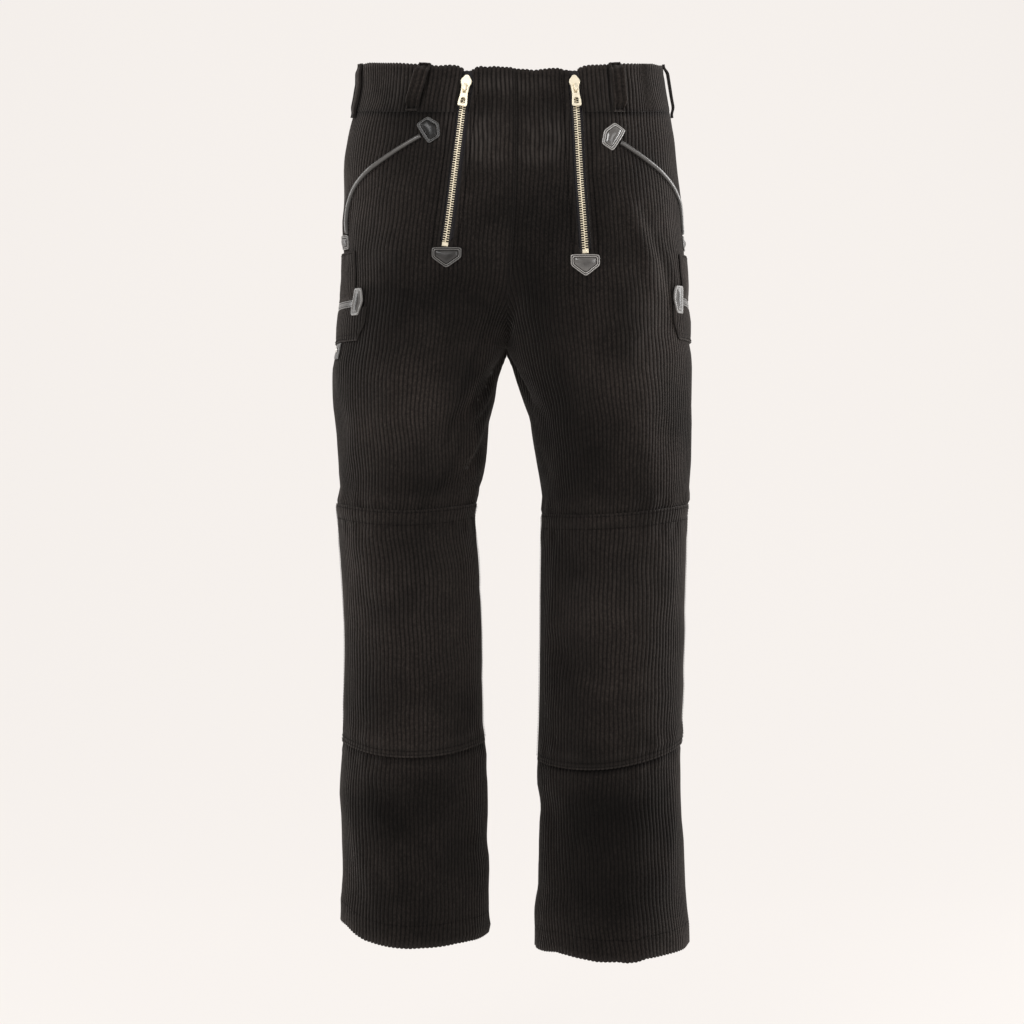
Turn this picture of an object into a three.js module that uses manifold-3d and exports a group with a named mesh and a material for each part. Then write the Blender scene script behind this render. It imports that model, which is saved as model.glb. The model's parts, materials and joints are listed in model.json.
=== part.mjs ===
// Journeyman (guild) work trousers in wide-wale corduroy, filled out and hollow, as they stand on a wearer.
// Millimetres, +Z up, front towards -Y, the wearer's right leg at -X. The origin is the centre of the waistband,
// halfway up it at the side seams, where the wearer's waist holds the garment.
//
// The cloth is made from one surface per panel. A panel is cut between its side seam and its centre seam or inseam:
// a point on it is (u, z), where u is the distance round from the side seam and z is the nominal height.
// Sections of the two legs and the hips come from the tables below, and pieces are offsets of that surface.
import * as THREE from "three";
import Module from "manifold-3d";
import { mergeVertices } from "three/addons/utils/BufferGeometryUtils.js";

const wasm = await Module();
wasm.setup();

// ---------------------------------------------------------------- driving sizes
const CLOTH = 1.8; // wall of the corduroy
const SEAM = 0.42; // gap between neighbouring pieces at a seam
const LAID = 0.35; // gap under a piece that lies on a panel and shares its points
const LOOSE = 0.85; // gap under a small piece that lies on a curved panel with points of its own
const LEATHER = 1.6; // thickness of the leather trim
const Z_TOP = 29; // top edge of the waistband at the side seams
const Z_BAND = -26; // lower seam of the waistband
const Z_CROTCH = -318; // where the four panels meet
const RISE_RUN = 105; // height over which the crotch curve turns up into the centre seam
const CROTCH_Y = 6; // how far behind the side seams the crotch point lies
const SLIT = 15; // opening in the front panel for a front zip
const ROUND_HIP = 2.25; // superellipse exponent of the outer quarter of a hip section
const ROUND_LEG = 2.1; // and of a leg section

// Heights of the rows where the leg pieces begin and end, for each side.
const LEVELS = {
  r: { zipEnd: -203, kneeTop: -507, kneeBottom: -796, hem: -1024 },
  l: { zipEnd: -216, kneeTop: -514, kneeBottom: -809, hem: -1047 },
};

// Outer silhouette at the side seam. z, wearer's right, wearer's left.
const OUTER = rows(["z", "r", "l"], [
  [40, -186, 182],
  [27, -186.5, 183],
  [-1, -189, 186.5],
  [-38, -196, 194],
  [-62, -201.5, 197.5],
  [-90, -206, 200.5],
  [-136, -207.5, 206.5],
  [-185, -206.5, 210],
  [-235, -205.5, 211],
  [-283, -208, 212.5],
  [-318, -213, 216],
  [-345, -219, 219.5],
  [-382, -221, 221],
  [-431, -215.5, 219.5],
  [-480, -211.5, 218],
  [-529, -211.5, 213.5],
  [-578, -207, 211.5],
  [-652, -204.5, 210.5],
  [-725, -204, 208],
  [-798, -207.5, 206.5],
  [-848, -210, 206.5],
  [-921, -208.6, 210],
  [-995, -209, 213.5],
  [-1060, -211, 218],
]);

// Inner silhouette of each leg at the inseam, below the crotch. z, wearer's right, wearer's left.
const INNER = rows(["z", "r", "l"], [
  [-318, -7.2, -6.8],
  [-326, -8.6, -4.6],
  [-336, -12, -0.5],
  [-357, -19, 6],
  [-382, -22.5, 14],
  [-406, -27.5, 21.5],
  [-431, -30.5, 25.5],
  [-480, -37.5, 33],
  [-504, -43, 35.5],
  [-529, -45.5, 35.6],
  [-578, -40.8, 34.5],
  [-652, -38, 34.3],
  [-750, -34.5, 32],
  [-822, -31.2, 31],
  [-872, -30.2, 33.4],
  [-921, -29.6, 33],
  [-985, -29.2, 29],
  [-1060, -27.5, 26.5],
]);

// Front and back of the sections, the side seam's depth, and the hip's crown. z, front y, back y, seam y.
const DEPTH = rows(["z", "front", "back", "seam"], [
  [40, -103, 102, 0],
  [27, -104, 103, 0],
  [-28, -109, 112, 0],
  [-80, -114, 125, 0],
  [-140, -117, 137, 0],
  [-200, -118, 143, 0],
  [-260, -116, 140, 2],
  [-318, -112, 129, 5],
  [-357, -108, 118, 6],
  [-406, -104, 108, 4],
  [-455, -98, 99, 1],
  [-504, -93, 91, -1],
  [-553, -90, 85, -2],
  [-627, -85, 82, -1],
  [-700, -82, 83, 1],
  [-774, -80, 85, 3],
  [-848, -78, 86, 4],
  [-921, -78, 85, 4],
  [-995, -80, 84, 3],
  [-1060, -83, 84, 2],
]);

// Middle of the hip sections: where each front or back is fullest, and the centre seam. z, fullest r, fullest l, centre seam x.
const HIP = rows(["z", "r", "l", "centre"], [
  [40, -38, 46, 3.5],
  [27, -40, 47, 3.5],
  [-28, -52, 58, 4.5],
  [-112, -78, 79, 3.5],
  [-200, -98, 95, -0.5],
  [-260, -107, 102, -5],
  [-318, -110.1, 104.6, -7],
]);

// Share of the front's and back's depth that the centre seam reaches above the crotch curve. z, front, back.
const CENTRE = rows(["z", "front", "back"], [
  [40, 0.995, 0.99],
  [-28, 0.993, 0.985],
  [-120, 0.985, 0.965],
  [-200, 0.965, 0.945],
  [-318, 0.94, 0.92],
]);

// How the rows hang: slope is the fall of a row from the side seams to the front (front) and its rise to the back (back).
const HANG = rows(["z", "front", "back"], [
  [40, 0.235, 0.17],
  [27, 0.232, 0.165],
  [-28, 0.212, 0.14],
  [-120, 0.14, 0.085],
  [-210, 0.06, 0.03],
  [-318, 0, 0],
]);

// How a leg's rows drop: tilt raises the outer side and lowers the inner one, sag drops the front.
const DROP = {
  r: rows(["z", "tilt", "sag"], [[-318, 0, 0], [-507, 0, -8.5], [-796, 0, -12], [-1024, 7, -10]]),
  l: rows(["z", "tilt", "sag"], [[-318, 0, 0], [-514, 6, -5], [-809, 11, -12], [-1047, 6, -4]]),
};

// Largest folds. Each runs from (q1, z1) to (q2, z2), where q is the share of the way round from the side seam to the
// centre seam or inseam; reach is its half width and depth its height, negative for a trough.
const FOLDS = rows(["side", "face", "q1", "z1", "q2", "z2", "reach", "depth"], [
  ["r", "front", 0.34, -262, 0.62, -243, 22, -3.2],
  ["r", "front", 0.62, -243, 0.93, -258, 20, -4.2],
  ["r", "front", 0.5, -292, 0.86, -276, 20, 2.6],
  ["r", "front", 0.93, -330, 0.62, -430, 15, -3.4],
  ["r", "front", 0.84, -332, 0.5, -430, 20, 2.8],
  ["r", "front", 0.92, -432, 0.62, -492, 14, -2.6],
  ["r", "front", 0.7, -548, 0.5, -566, 20, -1.8],
  ["r", "front", 0.42, -850, 0.5, -905, 24, -2.4],
  ["r", "front", 0.74, -912, 0.66, -960, 20, -2.0],
  ["r", "back", 0.55, -330, 0.96, -326, 16, -4.0],
  ["r", "back", 0.35, -372, 0.9, -352, 18, -3.2],
  ["r", "back", 0.25, -560, 0.8, -548, 18, -3.4],
  ["r", "back", 0.3, -610, 0.7, -596, 16, -2.6],
  ["r", "back", 0.4, -880, 0.62, -930, 24, -2.2],
  ["l", "front", 0.9, -196, 0.97, -300, 14, -2.4],
  ["l", "front", 0.96, -352, 0.8, -420, 20, -2.6],
  ["l", "front", 0.78, -392, 0.62, -376, 14, -1.8],
  ["l", "front", 0.32, -196, 0.2, -250, 16, 2.2],
  ["l", "front", 0.62, -575, 0.72, -590, 20, -1.8],
  ["l", "front", 0.82, -664, 0.55, -706, 15, -2.4],
  ["l", "front", 0.84, -772, 0.66, -756, 18, -1.8],
  ["l", "front", 0.6, -890, 0.72, -960, 26, -2.2],
  ["l", "back", 0.5, -332, 0.95, -324, 16, -4.0],
  ["l", "back", 0.3, -366, 0.85, -350, 18, -2.8],
  ["l", "back", 0.3, -556, 0.82, -566, 18, -3.2],
  ["l", "back", 0.25, -604, 0.7, -618, 16, -2.4],
  ["l", "back", 0.36, -900, 0.6, -950, 24, -2.0],
]);

const SIGN = { r: -1, l: 1 };

// ---------------------------------------------------------------- tables and interpolation
function rows(names, values) {
  return values.map((v) => Object.fromEntries(names.map((n, i) => [n, v[i]])));
}

// Monotone cubic through a table's column; the table's z falls from row to row.
function along(table, column, z) {
  const n = table.length;
  if (z >= table[0].z) return table[0][column];
  if (z <= table[n - 1].z) return table[n - 1][column];
  let k = 0;
  while (z < table[k + 1].z) k++;
  const slope = (i) => (table[i + 1][column] - table[i][column]) / (table[i + 1].z - table[i].z);
  const tangent = (i) => {
    if (i === 0) return slope(0);
    if (i === n - 1) return slope(n - 2);
    const a = slope(i - 1), b = slope(i);
    return a * b <= 0 ? 0 : (2 * a * b) / (a + b);
  };
  const h = table[k + 1].z - table[k].z, t = (z - table[k].z) / h;
  const t2 = t * t, t3 = t2 * t;
  return (
    (2 * t3 - 3 * t2 + 1) * table[k][column] + (t3 - 2 * t2 + t) * h * tangent(k) +
    (-2 * t3 + 3 * t2) * table[k + 1][column] + (t3 - t2) * h * tangent(k + 1)
  );
}

const clamp = (x, a, b) => Math.max(a, Math.min(b, x));

// ---------------------------------------------------------------- the garment's surface
// One section of a panel, from the side seam to the centre seam or inseam, as points with their distance round.
const sectionCache = new Map();
function section(side, face, z) {
  const key = side + face + z.toFixed(4);
  if (sectionCache.has(key)) return sectionCache.get(key);
  const s = SIGN[side], dir = face === "front" ? -1 : 1;
  const xo = along(OUTER, side, z), cy = along(DEPTH, "seam", z);
  const full = Math.abs(along(DEPTH, face, z) - cy);
  const torso = z > Z_CROTCH;
  let cx, end, reach, last;
  if (torso) {
    cx = along(HIP, side, z);
    end = along(HIP, "centre", z) + (s * SEAM) / 2;
    const t = clamp((z - Z_CROTCH) / RISE_RUN, 0, 1);
    const g = Math.sqrt(0.25 * t * (2 - t) + 0.75 * t * t * (3 - 2 * t));
    const top = along(CENTRE, face, z) * full; // depth of the centre seam above the curve
    const low = dir * (CROTCH_Y - cy);
    const h = clamp(low + (top - low) * g, 0.001, 0.998 * full) / full;
    reach = Math.abs(cx - end) / Math.sqrt(1 - h * h);
    last = Math.acos(clamp(Math.abs(cx - end) / reach, 0, 1));
  } else {
    end = along(INNER, side, z);
    cx = (xo + end) / 2;
    reach = Math.abs(cx - end);
    last = 0;
  }
  const outer = Math.abs(xo - cx), n = torso ? ROUND_HIP : ROUND_LEG + (ROUND_HIP - ROUND_LEG) * clamp(1 - (Z_CROTCH - z) / 60, 0, 1);
  const pts = [];
  const N = 40;
  for (let i = 0; i <= N; i++) {
    const a = (i / N) * (Math.PI / 2);
    pts.push([cx + s * outer * Math.pow(Math.cos(a), 2 / n), cy + dir * full * Math.pow(Math.sin(a), 2 / n)]);
  }
  pts[N] = [cx, cy + dir * full];
  for (let i = 1; i <= N; i++) {
    const a = Math.PI / 2 - (i / N) * (Math.PI / 2 - last);
    pts.push([cx - s * reach * Math.cos(a), cy + dir * full * Math.sin(a)]);
  }
  const dist = [0];
  for (let i = 1; i < pts.length; i++) dist.push(dist[i - 1] + Math.hypot(pts[i][0] - pts[i - 1][0], pts[i][1] - pts[i - 1][1]));
  const made = { pts, dist, length: dist[dist.length - 1], cx, cy };
  sectionCache.set(key, made);
  return made;
}

const lengthAt = (side, face, z) => section(side, face, z).length;

// Distance round at which a section crosses x, on the part between its fullest point and the side seam or beyond it.
function roundAt(side, face, z, x) {
  const { pts, dist } = section(side, face, z);
  for (let i = 1; i < pts.length; i++) {
    const a = pts[i - 1][0], b = pts[i][0];
    if ((a - x) * (b - x) <= 0 && a !== b) return dist[i - 1] + ((x - a) / (b - a)) * (dist[i] - dist[i - 1]);
  }
  return dist[dist.length - 1];
}

// A point of the plain surface: q is the share of the way round, z the nominal height.
function plain(side, face, q, z) {
  const { pts, dist, length, cx, cy } = section(side, face, z);
  const u = clamp(q, 0, 1) * length;
  let i = 1;
  while (i < dist.length - 1 && dist[i] < u) i++;
  const t = (u - dist[i - 1]) / (dist[i] - dist[i - 1]);
  const x = pts[i - 1][0] + t * (pts[i][0] - pts[i - 1][0]), y = pts[i - 1][1] + t * (pts[i][1] - pts[i - 1][1]);
  let dz = 0;
  if (z > Z_CROTCH) dz = along(HANG, face, z) * (y - cy);
  else {
    const s = SIGN[side], xo = along(OUTER, side, z), wide = Math.abs(xo - cx);
    const c = clamp((s * (x - cx)) / wide, -1, 1);
    dz = along(DROP[side], "tilt", z) * c + (face === "front" ? along(DROP[side], "sag", z) * (1 - c * c) : 0);
  }
  return new THREE.Vector3(x, y, z + dz);
}

// The plain surface's outward normal.
function facing(side, face, q, z) {
  const e = 0.004, q0 = clamp(q - e, 0, 1), q1 = clamp(q + e, 0, 1);
  const h = 1.5, torso = z > Z_CROTCH;
  const zu = torso ? z + h : Math.min(z + h, Z_CROTCH), zd = torso ? Math.max(z - h, Z_CROTCH + 0.4) : z - h;
  const a = plain(side, face, q1, z).sub(plain(side, face, q0, z));
  const b = plain(side, face, q, zu).sub(plain(side, face, q, zd));
  const n = a.cross(b).normalize();
  const outward = (SIGN[side] > 0) === (face === "front") ? -1 : 1;
  return n.multiplyScalar(outward);
}

// How far folds move the surface out at a point.
function folded(side, face, q, z) {
  const long = lengthAt(side, face, z);
  let d = 0;
  for (const f of FOLDS) {
    if (f.side !== side || f.face !== face) continue;
    const ax = f.q1 * long, bx = f.q2 * long, px = q * long;
    const dx = bx - ax, dz = f.z2 - f.z1, t = ((px - ax) * dx + (z - f.z1) * dz) / (dx * dx + dz * dz);
    const k = clamp(t, 0, 1);
    const away = Math.hypot(px - ax - k * dx, z - f.z1 - k * dz) / f.reach;
    if (away > 2.6) continue;
    const taper = 0.35 + 0.65 * Math.sin(Math.PI * clamp(0.12 + 0.76 * k, 0, 1));
    d += f.depth * taper * Math.exp(-away * away);
  }
  return d;
}

// A point of the cloth, moved out by off. Folds fade out towards the seams, so that neighbouring pieces stay in line.
function on(side, face, q, z, off = 0) {
  const long = lengthAt(side, face, z), edge = Math.min(q, 1 - q) * long;
  const fade = clamp(edge / 14, 0, 1);
  return plain(side, face, q, z).addScaledVector(facing(side, face, q, z), folded(side, face, q, z) * fade * fade * (3 - 2 * fade) + off);
}

// The same by distance round from the side seam: positive to the front, negative to the back.
function onSide(side, U, z, off = 0) {
  const face = U >= 0 ? "front" : "back";
  return on(side, face, Math.abs(U) / lengthAt(side, face, z), z, off);
}

// ---------------------------------------------------------------- building solids from sheets of points
// outer[i][j] and inner[i][j] are the two faces of a wall; cells that has(i, j) leaves out are openings.
function wall(outer, inner, has = () => true) {
  const R = outer.length, C = outer[0].length, pos = [], index = [];
  for (const sheet of [outer, inner]) for (const row of sheet) for (const p of row) pos.push(p.x, p.y, p.z);
  const o = (i, j) => i * C + j, n = (i, j) => R * C + i * C + j;
  const there = (i, j) => i >= 0 && j >= 0 && i < R - 1 && j < C - 1 && has(i, j);
  const quad = (a, b, c, d) => index.push(a, b, c, a, c, d);
  for (let i = 0; i < R - 1; i++)
    for (let j = 0; j < C - 1; j++) {
      if (!there(i, j)) continue;
      quad(o(i, j), o(i + 1, j), o(i + 1, j + 1), o(i, j + 1));
      quad(n(i, j), n(i, j + 1), n(i + 1, j + 1), n(i + 1, j));
      if (!there(i, j - 1)) quad(o(i, j), n(i, j), n(i + 1, j), o(i + 1, j));
      if (!there(i, j + 1)) quad(o(i, j + 1), o(i + 1, j + 1), n(i + 1, j + 1), n(i, j + 1));
      if (!there(i - 1, j)) quad(o(i, j), o(i, j + 1), n(i, j + 1), n(i, j));
      if (!there(i + 1, j)) quad(o(i + 1, j), n(i + 1, j), n(i + 1, j + 1), o(i + 1, j + 1));
    }
  const g = new THREE.BufferGeometry();
  g.setAttribute("position", new THREE.Float32BufferAttribute(pos, 3));
  g.setIndex(index);
  return facingOut(g);
}

// Turns a closed geometry the right way round and drops points it doesn't use.
function facingOut(g) {
  const p = g.getAttribute("position"), ix = g.getIndex().array;
  let v = 0;
  const a = new THREE.Vector3(), b = new THREE.Vector3(), c = new THREE.Vector3();
  for (let i = 0; i < ix.length; i += 3) {
    a.fromBufferAttribute(p, ix[i]); b.fromBufferAttribute(p, ix[i + 1]); c.fromBufferAttribute(p, ix[i + 2]);
    v += a.dot(b.cross(c));
  }
  if (v < 0) for (let i = 0; i < ix.length; i += 3) [ix[i + 1], ix[i + 2]] = [ix[i + 2], ix[i + 1]];
  const flat = g.toNonIndexed();
  return flat;
}

function solid(g) {
  const m = g.clone();
  m.deleteAttribute("normal"); m.deleteAttribute("uv");
  const w = mergeVertices(m, 1e-4);
  return new wasm.Manifold(new wasm.Mesh({ numProp: 3, vertProperties: w.getAttribute("position").array, triVerts: new Uint32Array(w.getIndex().array) }));
}

function geometry(manifold) {
  const m = manifold.getMesh(), g = new THREE.BufferGeometry();
  g.setAttribute("position", new THREE.Float32BufferAttribute(m.vertProperties, 3));
  g.setIndex(new THREE.BufferAttribute(m.triVerts, 1));
  return g.toNonIndexed();
}

// ---------------------------------------------------------------- materials and the group
const finish = (color, roughness, metalness) => new THREE.MeshStandardMaterial({ color, roughness, metalness });
const CORD = finish(0x201d1b, 0.95, 0), TAPE = finish(0x17151a, 0.9, 0), HIDE = finish(0x2b2a29, 0.45, 0);
const GOLD = finish(0xd9c48a, 0.28, 1), NICKEL = finish(0xb5b2ac, 0.3, 1);

const trousers = new THREE.Group();
function add(name, geom, material) {
  const mesh = new THREE.Mesh(geom, material);
  mesh.name = name;
  trousers.add(mesh);
  return mesh;
}

// ---------------------------------------------------------------- panel grids
const HIP_ROWS = [Z_TOP, 1, Z_BAND, -62, -98, -134, -170, -203, -216, -240, -262, -281, -297, -310];
const legRows = (side) => {
  const { kneeTop, kneeBottom, hem } = LEVELS[side];
  const spread = (a, b, n) => Array.from({ length: n }, (_, i) => a + ((b - a) * (i + 1)) / n);
  return [Z_CROTCH, -328, -343, -364, -390, -420, -452, kneeTop + 26, kneeTop, kneeTop - 24, ...spread(kneeTop - 24, kneeBottom, 5), ...spread(kneeBottom, hem, 5)];
};
const panelRows = (side) => [...HIP_ROWS, ...legRows(side)];

// The line of each front zip, x against nominal height, and where it lies round the panel.
const ZIP_X = {
  r: rows(["z", "x"], [[40, -51.2], [19, -52.7], [-24, -58.6], [-87, -65.6], [-152, -72.6], [-203, -78.8]]),
  l: rows(["z", "x"], [[40, 71.8], [19, 72.7], [-36, 76.2], [-113, 79.8], [-165, 83.2], [-216, 86.2]]),
};
function zipRound(side, z) {
  const stop = LEVELS[side].zipEnd;
  if (z >= stop) return roundAt(side, "front", z, along(ZIP_X[side], "x", z));
  const share = roundAt(side, "front", stop, along(ZIP_X[side], "x", stop)) / lengthAt(side, "front", stop);
  const k = clamp((stop - z) / 160, 0, 1);
  return lengthAt(side, "front", z) * (share + (0.6 - share) * k * k * (3 - 2 * k));
}

const PATCH_OUT = 7, PATCH_IN = 12; // how far a knee patch stays in from the side seam and the inseam
const FRONT_COLUMNS = { side: 6, centre: 4 };
const SLIT_COLUMN = FRONT_COLUMNS.side + 1;

// Distances round of the front panel's columns on a row.
function frontColumns(side, z) {
  const long = lengthAt(side, "front", z), at = zipRound(side, z), half = SLIT / 2;
  const end = z > Z_CROTCH ? long : long - SEAM / 2;
  const inner = Math.max(PATCH_IN, 1);
  const cols = [SEAM / 2, PATCH_OUT];
  for (let i = 1; i < FRONT_COLUMNS.side; i++) cols.push(PATCH_OUT + ((at - half - PATCH_OUT) * i) / (FRONT_COLUMNS.side));
  cols.push(at - half, at + half);
  for (let i = 1; i < FRONT_COLUMNS.centre; i++) cols.push(at + half + ((long - inner - at - half) * i) / FRONT_COLUMNS.centre);
  cols.push(long - inner, end);
  return cols;
}

const BACK_COUNT = 10;
function backColumns(side, z) {
  const long = lengthAt(side, "back", z), end = z > Z_CROTCH ? long : long - SEAM / 2;
  const cols = [SEAM / 2, PATCH_OUT];
  for (let i = 1; i <= BACK_COUNT - 2; i++) cols.push(PATCH_OUT + ((long - PATCH_IN - PATCH_OUT) * i) / (BACK_COUNT - 2));
  cols.push(end);
  return cols;
}

function sheetOf(side, face, heights, columns, off) {
  return heights.map((z) => columns(side, z).map((u) => on(side, face, u / lengthAt(side, face, z), z, off)));
}

for (const side of ["r", "l"]) {
  const level = LEVELS[side];
  // The front panel runs up to the top edge between zip and centre seam, and stops at the waistband outside the zip.
  const all = panelRows(side), under = all.map((z) => (z === Z_BAND ? Z_BAND - SEAM / 2 : z));
  const band = all.indexOf(Z_BAND), zipRow = all.indexOf(level.zipEnd);
  add(
    `front_panel_${side}`,
    wall(sheetOf(side, "front", under, frontColumns, 0), sheetOf(side, "front", under, frontColumns, -CLOTH), (i, j) =>
      j === SLIT_COLUMN - 0 - 0 ? i >= zipRow : j > SLIT_COLUMN ? true : i >= band),
    CORD,
  );
  const back = under.slice(band);
  add(`back_panel_${side}`, wall(sheetOf(side, "back", back, backColumns, 0), sheetOf(side, "back", back, backColumns, -CLOTH)), CORD);

  // Waistband: from the zip round the side seam to the centre back.
  const bandRows = [Z_TOP, 1, Z_BAND + SEAM / 2];
  const bandSheet = (off) =>
    bandRows.map((z) => {
      const f = frontColumns(side, z).slice(2, SLIT_COLUMN + 1).reverse(), b = backColumns(side, z).slice(2);
      const lf = lengthAt(side, "front", z), lb = lengthAt(side, "back", z);
      return [...f.map((u) => on(side, "front", u / lf, z, off)), on(side, "front", 0, z, off), ...b.map((u) => on(side, "back", u / lb, z, off))];
    });
  add(`waistband_${side}`, wall(bandSheet(0), bandSheet(-CLOTH)), CORD);

  // Knee patch: the front panel's own points between its two seams, moved out.
  const knee = all.filter((z) => z <= level.kneeTop && z >= level.kneeBottom);
  const patchColumns = (s, z) => frontColumns(s, z).slice(1, -1);
  add(`knee_patch_${side}`, wall(sheetOf(side, "front", knee, patchColumns, LAID + CLOTH), sheetOf(side, "front", knee, patchColumns, LAID)), CORD);
}


// ---------------------------------------------------------------- pieces that lie on the panels
const grids = new Map();
function gridOf(side, face) {
  const key = side + face;
  if (!grids.has(key)) {
    const heights = panelRows(side), columns = face === "front" ? frontColumns : backColumns;
    grids.set(key, { heights, cols: heights.map((z) => columns(side, z)), pts: sheetOf(side, face, heights, columns, 0) });
  }
  return grids.get(key);
}

// The point of a panel's flat facets above (u, z).
function facet(side, face, u, z) {
  const { heights, cols, pts } = gridOf(side, face);
  let i = 0;
  while (i < heights.length - 2 && z < heights[i + 1]) i++;
  const t = clamp((heights[i] - z) / (heights[i] - heights[i + 1]), 0, 1);
  const at = (j) => cols[i][j] + t * (cols[i + 1][j] - cols[i][j]);
  let j = 0;
  while (j < cols[i].length - 2 && u > at(j + 1)) j++;
  const s = clamp((u - at(j)) / (at(j + 1) - at(j)), 0, 1);
  const a = pts[i][j], b = pts[i + 1][j], c = pts[i + 1][j + 1], d = pts[i][j + 1];
  const step = (p, q, k) => p.addScaledVector(q[1].clone().sub(q[0]), k);
  return t >= s ? step(step(a.clone(), [a, b], t), [b, c], s) : step(step(a.clone(), [a, d], s), [d, c], t);
}

// A point off above the panels at the distance U round from the side seam: positive to the front, negative to the back.
function laid(side, U, z, off) {
  const face = U >= 0 ? "front" : "back", long = lengthAt(side, face, z), u = Math.min(Math.abs(U), long);
  const p = on(side, face, u / long, z), n = facing(side, face, clamp(u / long, 0.004, 0.996), z);
  return p.addScaledVector(n, Math.max(0, facet(side, face, u, z).sub(p).dot(n)) + off);
}

// A strip along a path of (U, z), as wide as 2 * half.
function strip(side, path, half, under, thick, step = 11) {
  const line = [path[0]];
  for (let i = 1; i < path.length; i++) {
    const [a, b] = [path[i - 1], path[i]], n = Math.max(1, Math.round(Math.hypot(b[0] - a[0], b[1] - a[1]) / step));
    for (let k = 1; k <= n; k++) line.push([a[0] + ((b[0] - a[0]) * k) / n, a[1] + ((b[1] - a[1]) * k) / n]);
  }
  const sheet = (off) =>
    line.map((p, i) => {
      const a = line[Math.max(0, i - 1)], b = line[Math.min(line.length - 1, i + 1)], l = Math.hypot(b[0] - a[0], b[1] - a[1]);
      const e = [(b[1] - a[1]) / l, -(b[0] - a[0]) / l];
      return [-1, 0, 1].map((k) => laid(side, p[0] + e[0] * half * k, p[1] + e[1] * half * k, off));
    });
  return wall(sheet(under + thick), sheet(under));
}

// A pentagon: half its base, the length of its straight sides, and of its point; turn is the way it points, in degrees.
function pentagon(side, U, z, turn, half, straight, point, under, thick) {
  const c = Math.cos((turn * Math.PI) / 180), s = Math.sin((turn * Math.PI) / 180);
  const shape = [[0, half], [straight / 2, half], [straight, half], [straight + point * 0.55, half * 0.45], [straight + point, 1.1]];
  const sheet = (off) => shape.map(([a, h]) => [-1, -0.5, 0, 0.5, 1].map((k) => laid(side, U + a * c - k * h * s, z + a * s + k * h * c, off)));
  return wall(sheet(under + thick), sheet(under));
}

// ---------------------------------------------------------------- front zips
const ZIP_W = 13; // half width of a tape
const CHAIN_W = 5; // half width of the teeth
const CHAIN_OUT = -0.7; // outer face of the teeth, from the cloth's face
const TAPE_OUT = -3.1; // outer face of the tape
const ZIP_HEIGHTS = { r: [26.5, 8, -26, -62, -98, -134, -170, -200], l: [26.5, 8, -26, -62, -98, -134, -170, -203, -213] };
for (const side of ["r", "l"]) {
  const across = [-ZIP_W, -CHAIN_W - 0.6, -CHAIN_W, CHAIN_W, CHAIN_W + 0.6, ZIP_W], outer = [TAPE_OUT, TAPE_OUT, CHAIN_OUT, CHAIN_OUT, TAPE_OUT, TAPE_OUT];
  // Points of the tape keep their depth from the flat facets of the panel, so that it stays behind them.
  const sheet = (offs) =>
    ZIP_HEIGHTS[side].map((z) => across.map((w, k) => {
      const u = zipRound(side, z) + w, long = lengthAt(side, "front", z), p = on(side, "front", u / long, z), n = facing(side, "front", u / long, z);
      const low = Math.min(0, facet(side, "front", u, z).sub(p).dot(n));
      return p.addScaledVector(n, low + offs[k]);
    }));
  add(`zip_tape_${side}`, wall(sheet(outer), sheet(outer.map(() => TAPE_OUT - 1.0))), TAPE);
}

// ---------------------------------------------------------------- leather of the front zips and front pockets
// Tabs. side, U, z, turn, half base, straight side, point.
const TABS = rows(["name", "side", "U", "z", "turn", "half", "straight", "point"], [
  ["zip_end_tab_r", "r", 203.5, -201, -90, 17.4, 13, 13.5],
  ["zip_end_tab_l", "l", 197.8, -210, -90, 17.0, 14, 14],
  ["pocket_top_tab_r", "r", 156.8, -54.5, 43, 17.2, 15.3, 6.2],
  ["pocket_top_tab_l", "l", 135.6, -63, 40, 17.4, 15.5, 5.6],
]);
for (const t of TABS) add(t.name, pentagon(t.side, t.U, t.z, t.turn, t.half, t.straight, t.point, LOOSE, LEATHER), HIDE);

// The line of each front pocket's opening, from its upper tab to the side seam.
const OPENING = {
  r: [[155.4, -56], [145.3, -63.4], [133.1, -73], [114.4, -88.6], [92.2, -105.2], [72, -122], [60, -139.5], [55, -160], [53, -179.5]],
  l: [[134.3, -64.6], [113.9, -79], [94, -93.4], [75.7, -107.4], [56.5, -123], [41, -140], [33, -159], [31, -179.5]],
};
for (const side of ["r", "l"]) {
  add(`pocket_piping_${side}`, strip(side, OPENING[side], 3, LOOSE, LEATHER), HIDE);
  const U = OPENING[side].at(-1)[0];
  add(`pocket_side_tab_${side}`, strip(side, [[U - 24, -190], [U + 4, -190]], 9, LOOSE, LEATHER, 7), HIDE);
}

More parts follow.
